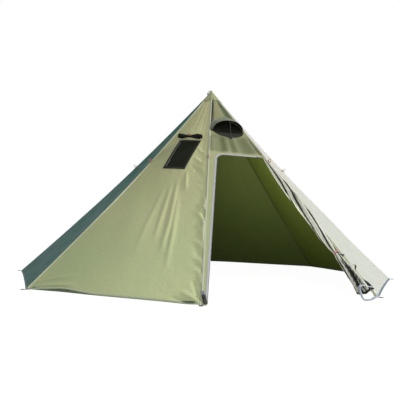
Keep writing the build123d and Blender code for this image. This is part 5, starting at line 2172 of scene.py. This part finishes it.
@dataclass
class Vent:
    """The hooded vent above the door."""

    hood_half: float = 0.135
    hood_rise: float = 0.169
    hood_out: float = 0.082
    rim_rise: float = 0.036
    lap: float = 0.008
    ledge_painted_shade: float = 0.7

    def build(self) -> None:
        """Builds the hood, its piping, the net and its binding."""
        self.build_hood()
        self.build_net()

    def hood_point(self, turn: Array, share: Array) -> Array:
        """A point of the hood.

        Args:
            turn: The angle round the arch, 0 at the right tip.
            share: From 0 where it is sewn down to 1 at the rim.

        Returns:
            The points.
        """
        c, s = np.cos(turn), np.sin(turn)
        base_v = DOOR.vent_line + self.hood_rise * s
        rim_v = DOOR.vent_line + self.rim_rise * s
        bulge = 0.014 * np.sin(np.pi * share) * s
        v = base_v + (rim_v - base_v) * share + 0.55 * bulge
        crease = 0.0022 * SHAPE.waves[0].at(turn * 4.5, share * 1.5) * np.sin(np.pi * share) * s
        h = 0.0016 + (self.hood_out * s - 0.001) * share + bulge + crease
        dip = 0.004 * share**3 * np.cos(3 * (turn - math.pi / 2)) * s
        u = self.hood_half * c * (1 - 0.02 * share)
        return SHAPE.flat(Panel.FRONT, u, v - dip, np.maximum(h, 0.0012))

    def build_hood(self) -> None:
        """The hood's curved cloth and the piping on its rim."""
        rows, columns = 72, 22
        turns = np.linspace(math.radians(3), math.pi - math.radians(3), rows)
        shares = np.linspace(0, 1, columns)
        turn, share = np.meshgrid(turns, shares, indexing="ij")
        points = self.hood_point(turn, share)
        faces, places = grid_faces(np.arange(rows * columns).reshape(rows, columns))
        cloth = corner_cloth(places, turn * 0.14, share * 0.15)
        piece = make_piece("vent_hood_cloth", points.reshape(-1, 3), faces, {"cloth": cloth})
        _, _, up, out = SHAPE.axes(Panel.FRONT)
        middle = piece.data.polygons[(rows // 2) * (columns - 1) + columns // 2 - 1].normal
        if np.dot(np.array(middle), up + out) < 0:
            piece.data.flip_normals()
        FINISHES.dress(piece, "hood_shaded_cloth", "hood_shaded_lining")
        thicken(piece, 0.0009)
        enter(piece, ["vent_hood"])
        rim = self.hood_point(turns, np.ones(len(turns)))
        trim = sweep("vent_hood_trim", rim, carry_normals(rim, out), round_section(0.0016, 8))
        FINISHES.dress(trim, "black_cord")
        enter(trim)
        foot = self.hood_point(turns, np.zeros(len(turns)))
        normals = np.repeat(out[None], rows, 0)
        section = flat_section(0.008, 0.0, 0.0012, 0.0008)
        ledge = sweep("vent_hood_seam", foot + out * 0.0002, normals, section)
        # The seam round the hood's foot is darkened: painted shade, like the panel above the vent.
        store_tone(ledge, np.full(3, self.ledge_painted_shade))
        FINISHES.dress(ledge, "seam_cloth")
        enter(ledge)

    def build_net(self) -> None:
        """The insect net over the opening, and the binding of the cloth's edge."""
        turns = np.linspace(0, TURN, 72, endpoint=False)
        shares = np.linspace(0.02, 1, 18)
        half = DOOR.vent_half + self.lap
        reach = np.where(np.sin(turns) < 0, DOOR.vent_drop, DOOR.vent_rise) + self.lap
        rings = []
        for share in shares:
            u = half * share * np.cos(turns)
            v = DOOR.vent_line + reach * share * np.sin(turns)
            limit = SHAPE.half_width(v) - 0.012
            h = -0.0022 - 0.006 * (1 - share**2)
            rings.append(SHAPE.flat(Panel.FRONT, np.clip(u, -limit, limit), v, h))
        rings = np.array(rings)
        ids = np.arange(rings.shape[0] * rings.shape[1]).reshape(rings.shape[:2])
        ids = np.hstack([ids, ids[:, :1]])
        faces, places = grid_faces(ids)
        faces.append(ids[0, :-1][::-1].tolist())
        around = np.append(turns, TURN)
        u = half * shares[places[:, 0]] * np.cos(around[places[:, 1]])
        v = shares[places[:, 0]] * 0.12 * np.sin(around[places[:, 1]])
        cloth = np.stack([u, v, 0 * u], 1)
        cap = np.stack([half * 0.02 * np.cos(turns[::-1]), 0.0024 * np.sin(turns[::-1]), 0 * turns], 1)
        piece = make_piece("vent_net", rings.reshape(-1, 3), faces, {"cloth": np.vstack([cloth, cap])})
        FINISHES.dress(piece, "net", "net")
        thicken(piece, 0.0004, 0.0)
        enter(piece, ["vent_mesh"])
        low = np.linspace(math.pi, TURN, 60)
        u, v = DOOR.vent_half * np.cos(low), DOOR.vent_line + DOOR.vent_drop * np.sin(low)
        path = SHAPE.flat(Panel.FRONT, u, v, 0.0006)
        out = SHAPE.axes(Panel.FRONT)[3]
        section = flat_section(0.007, -0.0022, 0.0008, 0.0008)
        binding = sweep("vent_binding", path, np.repeat(out[None], 60, 0), section)
        FINISHES.dress(binding, "seam_binding")
        enter(binding)


@dataclass
class StoveJack:
    """The chimney opening's heatproof patch, its frame and its rolled flap."""

    u: float = 0.007
    v: float = 1.340
    turn: float = math.radians(-6.0)
    width: float = 0.196
    height: float = 0.325
    flap_above: float = 0.014
    flap_length: float = 0.204
    flap_turns: float = 4.6
    flap_core: float = 0.0018
    cord_length: float = 0.157
    cord_diameter: float = 0.0025
    cord_points: tuple[tuple[float, float, float], ...] = (
        (-62.0, 210.5, 1.35),
        (-24.0, 176.5 + 15.65 * math.sin(math.radians(48)), 21.6 + 15.65 * math.cos(math.radians(48))),
        (0.0, 176.5, 35.05),
        (24.0, 176.5 + 15.65 * math.sin(math.radians(48)), 21.6 + 15.65 * math.cos(math.radians(48))),
        (62.0, 210.5, 1.35),
    )

    def on_panel(self, x: Array, y: Array) -> tuple[Array, Array]:
        """The (u, v) of a place in the patch's own turned frame.

        Args:
            x: Places across the patch from its middle.
            y: Places up it from its middle.

        Returns:
            The places on the panel.
        """
        c, s = math.cos(self.turn), math.sin(self.turn)
        x, y = np.asarray(x, float), np.asarray(y, float)
        return self.u + x * c - y * s, self.v + x * s + y * c

    def cloth(self, x: Array, y: Array, h: Array) -> Array:
        """Points on the hanging cloth at the patch's own x, y."""
        u, v = self.on_panel(x, y)
        return SHAPE.cloth(Panel.FRONT_LEFT, u, v, h)

    def stiff(self, x: Array, y: Array, h: Array) -> Array:
        """Points over the panel's plane at the patch's own x, y."""
        u, v = self.on_panel(x, y)
        return SHAPE.flat(Panel.FRONT_LEFT, u, v, h)

    def build(self) -> None:
        """Builds the patch, frame, painted highlight line, flap and cord."""
        self.build_patch()
        self.build_frame()
        self.build_flap()
        self.build_cord()

    def build_patch(self) -> None:
        """The heatproof cloth, outside and inside the canopy."""
        reach_x, reach_y = self.width / 2 - 0.0115, self.height / 2 - 0.0115
        x, y = np.meshgrid(np.linspace(-reach_x, reach_x, 36), np.linspace(-reach_y, reach_y, 56))
        inside = (1 - (x / reach_x) ** 2) * (1 - (y / reach_y) ** 2)
        ripple = 0.0016 * SHAPE.waves[5].at(x / 0.05, y / 0.09) * inside
        faces, places = grid_faces(np.arange(x.size).reshape(x.shape))
        cloth = corner_cloth(places, x, y)
        for name, height in (("jack_patch", 0.0009), ("jack_patch_inside", -0.0019)):
            points = self.cloth(x, y, height + ripple * (1 if height > 0 else 0.4))
            piece = make_piece(name, points.reshape(-1, 3), faces, {"cloth": cloth})
            FINISHES.dress(piece, "jack_cloth", "jack_cloth")
            thicken(piece, 0.0006, 0.0)
            enter(piece, ["stove_jack_cloth"] if height > 0 else [])

    def frame_path(self, inset: float, per_side: int = 22) -> tuple[Array, Array]:
        """The rectangle at an inset from the patch's outline.

        Args:
            inset: How far inside the outline.
            per_side: Points on each side.

        Returns:
            The x and the y of its points.
        """
        half_x, half_y = self.width / 2 - inset, self.height / 2 - inset
        corners = [(-half_x, -half_y), (half_x, -half_y), (half_x, half_y), (-half_x, half_y)]
        xs, ys = [], []
        for (ax, ay), (bx, by) in zip(corners, corners[1:] + corners[:1]):
            share = np.linspace(0, 1, per_side, endpoint=False)
            xs.append(ax + (bx - ax) * share)
            ys.append(ay + (by - ay) * share)
        return np.concatenate(xs), np.concatenate(ys)

    def build_frame(self) -> None:
        """The webbing frame sewn over the patch's edge, mitred at its corners."""
        section = (
            (0.0, 0.2), (0.0, 1.5), (0.0015, 2.2), (0.0085, 2.5), (0.0155, 2.2), (0.017, 1.5), (0.017, 0.2),
        )
        rings = []
        for inset, height in section:
            x, y = self.frame_path(inset)
            rings.append(self.cloth(x, y, height * MM))
        piece = loft("jack_frame", np.stack(rings, 1), np.array([i - 0.0085 for i, _ in section]), loop=True)
        FINISHES.dress(piece, "black_webbing")
        enter(piece, ["stove_jack_border"])
        # A grey cord along the frame's inner left edge only: a painted highlight of that edge.
        y = np.linspace(-self.height / 2 + 0.022, self.height / 2 - 0.03, 40)
        path = self.cloth(np.full(40, -self.width / 2 + 0.0225), y, 0.0026)
        out = SHAPE.axes(Panel.FRONT_LEFT)[3]
        piping = sweep("jack_highlight_line", path, carry_normals(path, out), round_section(0.0016, 8))
        FINISHES.dress(piping, "grey_highlight_line")
        enter(piping)

    def flap_point(self, share: Array, wrap: Array) -> Array:
        """A point of the rolled flap.

        Args:
            share: From 0 at its left end to 1 at its right.
            wrap: From 0 at the core to 1 at its free edge.

        Returns:
            The points.
        """
        x = (share - 0.5) * self.flap_length
        away = np.abs(2 * share - 1)
        radius = 0.0098 + 0.0105 * ease(away / 0.72) - 0.002 * ease((away - 0.85) / 0.15)
        turn = TURN * self.flap_turns * wrap + 2.2 + 0.5 * share
        lobes = 1 + 0.09 * np.sin(2 * turn + 9 * share) + 0.05 * np.sin(3 * turn + 17 * share)
        r = self.flap_core + (radius * lobes - self.flap_core) * wrap
        y = self.height / 2 + self.flap_above + r * np.sin(turn)
        tilt = 0.004 * (2 * share - 1) ** 2
        h = 0.0216 + r * np.cos(turn)
        return self.stiff(x, y + tilt, np.maximum(h, 0.0014))

    def build_flap(self) -> None:
        """The flap that closes the patch, rolled up above it."""
        rows, columns = 96, 150
        share, wrap = np.meshgrid(np.linspace(0, 1, rows), np.linspace(0, 1, columns), indexing="ij")
        ragged = share + 0.012 * (2 * share - 1) ** 5 * SHAPE.waves[4].at(wrap * 21, wrap * 0)
        points = self.flap_point(ragged, wrap)
        faces, places = grid_faces(np.arange(rows * columns).reshape(rows, columns))
        cloth = corner_cloth(places, wrap * 0.3, share * 0.2)
        piece = make_piece("jack_flap", points.reshape(-1, 3), faces, {"cloth": cloth})
        FINISHES.dress(piece, "flap_cloth", "flap_cloth")
        thicken(piece, 0.0008, 0.0)
        enter(piece, ["stove_flap_roll"])

    def build_cord(self) -> None:
        """The thin cord stretched over the rolled flap."""
        points = [self.stiff(x * MM, y * MM, h * MM) for x, y, h in self.cord_points]
        data = bpy.data.curves.new("stove_flap_cord_line", "CURVE")
        data.dimensions = "3D"
        line = data.splines.new("NURBS")
        line.points.add(len(points) - 1)
        for knot, spot in zip(line.points, points):
            knot.co = (*spot, 1.0)
        line.order_u = 3
        line.use_endpoint_u = True
        data.bevel_depth = self.cord_diameter / 2
        data.bevel_resolution = 3
        data.resolution_u = 16
        data.use_fill_caps = True
        piece = bpy.data.objects.new("stove_flap_cord_line", data)
        bpy.context.scene.collection.objects.link(piece)
        data.materials.append(FINISHES.get("black_cord"))
        enter(piece, ["stove_flap_cord"])
        tuple(points[0])


@dataclass
class Hardware:
    """The rigid parts whose shapes stay as they are, and their finishes."""

    finishes: dict[str, str] = field(default_factory=lambda: {
        "pole_upper_tube": "orange_anodised",
        "pole_middle_tube": "orange_anodised",
        "pole_lower_tube": "orange_anodised",
        "upper_ferrule": "bare_aluminium",
        "lower_ferrule": "bare_aluminium",
        "foot_tube": "bare_aluminium",
        "pole_tip": "black_plastic",
        "apex_cup": "black_plastic",
        "pole_foot": "foot_rubber",
        "lock_collar": "lime_plastic",
        "lock_lever": "lime_plastic",
        "lever_pin": "steel",
        "peg_eyelets": "steel",
        "zip_slider": "zip_metal",
        "zip_pull": "zip_metal",
        "zip_stops": "zip_metal",
        "vent_prop": "black_plastic",
        "vent_prop_socket": "black_plastic",
        "vent_prop_pin": "steel",
        "stove_flap_toggle": "red_toggle",
        "door_tie_toggle": "pink_toggle",
        "door_base_buckle": "grey_plastic",
    })

    def build(self) -> None:
        """Gives every kept part its finish."""
        for name, finish in self.finishes.items():
            FINISHES.dress(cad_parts[name], finish)
            LOG.info("%s wears %s", name, finish)


@dataclass
class Studio:
    """The floor, the light and the camera."""

    spot: tuple[float, float, float] = (-1.584, -4.019, 0.453)
    heading: float = -23.55
    pitch: float = 1.06
    roll: float = 1.44
    lens: float = 44.65
    shift: tuple[float, float] = (-0.0654, 0.0353)
    floor_radius: float = 24.0
    floor_level: float = -0.0005

    def build(self) -> None:
        """Sets everything up."""
        self.build_camera()
        self.build_floor()
        self.build_world()
        self.build_sun("key", azimuth=-18, elevation=42, strength=2.3, spread=8, colour=(1.0, 0.985, 0.95))
        self.build_sun("fill", azimuth=-104, elevation=24, strength=0.95, spread=70, colour=(1.0, 0.99, 0.96))
        self.build_glow()
        self.build_sun("sky", azimuth=90, elevation=80, strength=0.35, spread=150, colour=(0.9, 0.96, 1.0))

    def build_camera(self) -> None:
        """The camera at a standing child's height, off to the left of the door."""
        a, p, r = (math.radians(x) for x in (self.heading, self.pitch, self.roll))
        ahead = Vector((-math.sin(a) * math.cos(p), math.cos(a) * math.cos(p), math.sin(p)))
        right = Vector((math.cos(a), math.sin(a), 0.0))
        up = right.cross(ahead)
        level_right = right * math.cos(r) + up * math.sin(r)
        level_up = level_right.cross(ahead)
        data = bpy.data.cameras.new("camera")
        data.lens, data.sensor_width = self.lens, 36.0
        data.shift_x, data.shift_y = self.shift
        camera = bpy.data.objects.new("camera", data)
        camera.matrix_world = Matrix((
            (level_right.x, level_up.x, -ahead.x, self.spot[0]),
            (level_right.y, level_up.y, -ahead.y, self.spot[1]),
            (level_right.z, level_up.z, -ahead.z, self.spot[2]),
            (0, 0, 0, 1),
        ))
        bpy.context.scene.collection.objects.link(camera)
        bpy.context.scene.camera = camera

    def build_floor(self) -> None:
        """A wide pale floor that takes only a faint shadow."""
        turns = np.linspace(0, TURN, 48, endpoint=False)
        reach, level = self.floor_radius, self.floor_level
        ring = np.stack([reach * np.cos(turns), reach * np.sin(turns), np.full(48, level)], 1)
        floor = make_piece("floor", ring, [list(range(48))], smooth=False)
        made = bpy.data.materials.new("studio_floor")
        made.use_nodes = True
        made.node_tree.nodes.clear()
        shade = Shade(made.node_tree)
        light = shade.node("ShaderNodeLightPath")
        glow = shade.node("ShaderNodeEmission", {"Color": (1.0, 1.0, 1.0), "Strength": 0.97})
        seen = shade.node("ShaderNodeBsdfDiffuse", {"Color": (0.06, 0.06, 0.06)})
        both = shade.node("ShaderNodeAddShader")
        shade.feed(both.inputs[0], glow.outputs[0])
        shade.feed(both.inputs[1], seen.outputs[0])
        bounced = shade.node("ShaderNodeBsdfDiffuse", {"Color": (0.42, 0.42, 0.40)})
        choose = shade.node("ShaderNodeMixShader", {"Fac": light.outputs["Is Camera Ray"]})
        shade.feed(choose.inputs[1], bounced.outputs[0])
        shade.feed(choose.inputs[2], both.outputs[0])
        out = shade.node("ShaderNodeOutputMaterial")
        shade.feed(out.inputs[0], choose.outputs[0])
        floor.data.materials.append(made)
        floor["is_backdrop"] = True

    def build_world(self) -> None:
        """A white backdrop that lights the tent only softly."""
        world = bpy.data.worlds.new("studio")
        bpy.context.scene.world = world
        world.use_nodes = True
        world.node_tree.nodes.clear()
        shade = Shade(world.node_tree)
        light = shade.node("ShaderNodeLightPath")
        backdrop = shade.node("ShaderNodeBackground", {"Color": (1.0, 1.0, 1.0), "Strength": 1.0})
        ambient = shade.node("ShaderNodeBackground", {"Color": (0.86, 0.93, 1.0), "Strength": 0.30})
        choose = shade.node("ShaderNodeMixShader", {"Fac": light.outputs["Is Camera Ray"]})
        shade.feed(choose.inputs[1], ambient.outputs[0])
        shade.feed(choose.inputs[2], backdrop.outputs[0])
        out = shade.node("ShaderNodeOutputWorld")
        shade.feed(out.inputs[0], choose.outputs[0])

    def build_glow(self) -> None:
        """The soft light that comes through the cloth into the tent."""
        data = bpy.data.lights.new("glow", "POINT")
        data.energy, data.shadow_soft_size, data.color = 15.0, 0.3, (1.0, 1.0, 0.95)
        lamp = bpy.data.objects.new("glow", data)
        lamp.location = (-0.1, -0.7, 0.3)
        bpy.context.scene.collection.objects.link(lamp)

    def build_sun(
        self, name: str, azimuth: float, elevation: float, strength: float, spread: float, colour: Colour
    ) -> None:
        """One distant light.

        Args:
            name: Its name.
            azimuth: The compass angle that it stands at, in degrees from +X.
            elevation: Its height over the horizon, in degrees.
            strength: Its strength.
            spread: Its apparent size, in degrees.
            colour: Its colour.
        """
        data = bpy.data.lights.new(name, "SUN")
        data.energy, data.angle, data.color = strength, math.radians(spread), colour
        lamp = bpy.data.objects.new(name, data)
        a, e = math.radians(azimuth), math.radians(elevation)
        toward = Vector((math.cos(a) * math.cos(e), math.sin(a) * math.cos(e), math.sin(e)))
        lamp.rotation_euler = toward.to_track_quat("Z", "Y").to_euler()
        lamp.location = toward * 6
        bpy.context.scene.collection.objects.link(lamp)


def main() -> None:
    """Builds the studio, then the tent's sub-assemblies in order."""
    logging.basicConfig(level=logging.INFO, format="%(message)s")
    bpy.context.scene.view_settings.view_transform = "Standard"
    for part in (Studio(), StoveJack(), Canopy(), Door(), Vent(), Hardware()):
        LOG.info("building %s", type(part).__name__)
        part.build()
    boxes = {"cad": cad_box, "visual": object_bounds()}
    {key: [list(map(float, c)) for c in box] for key, box in boxes.items()}


if __name__ == "__main__":
    main()
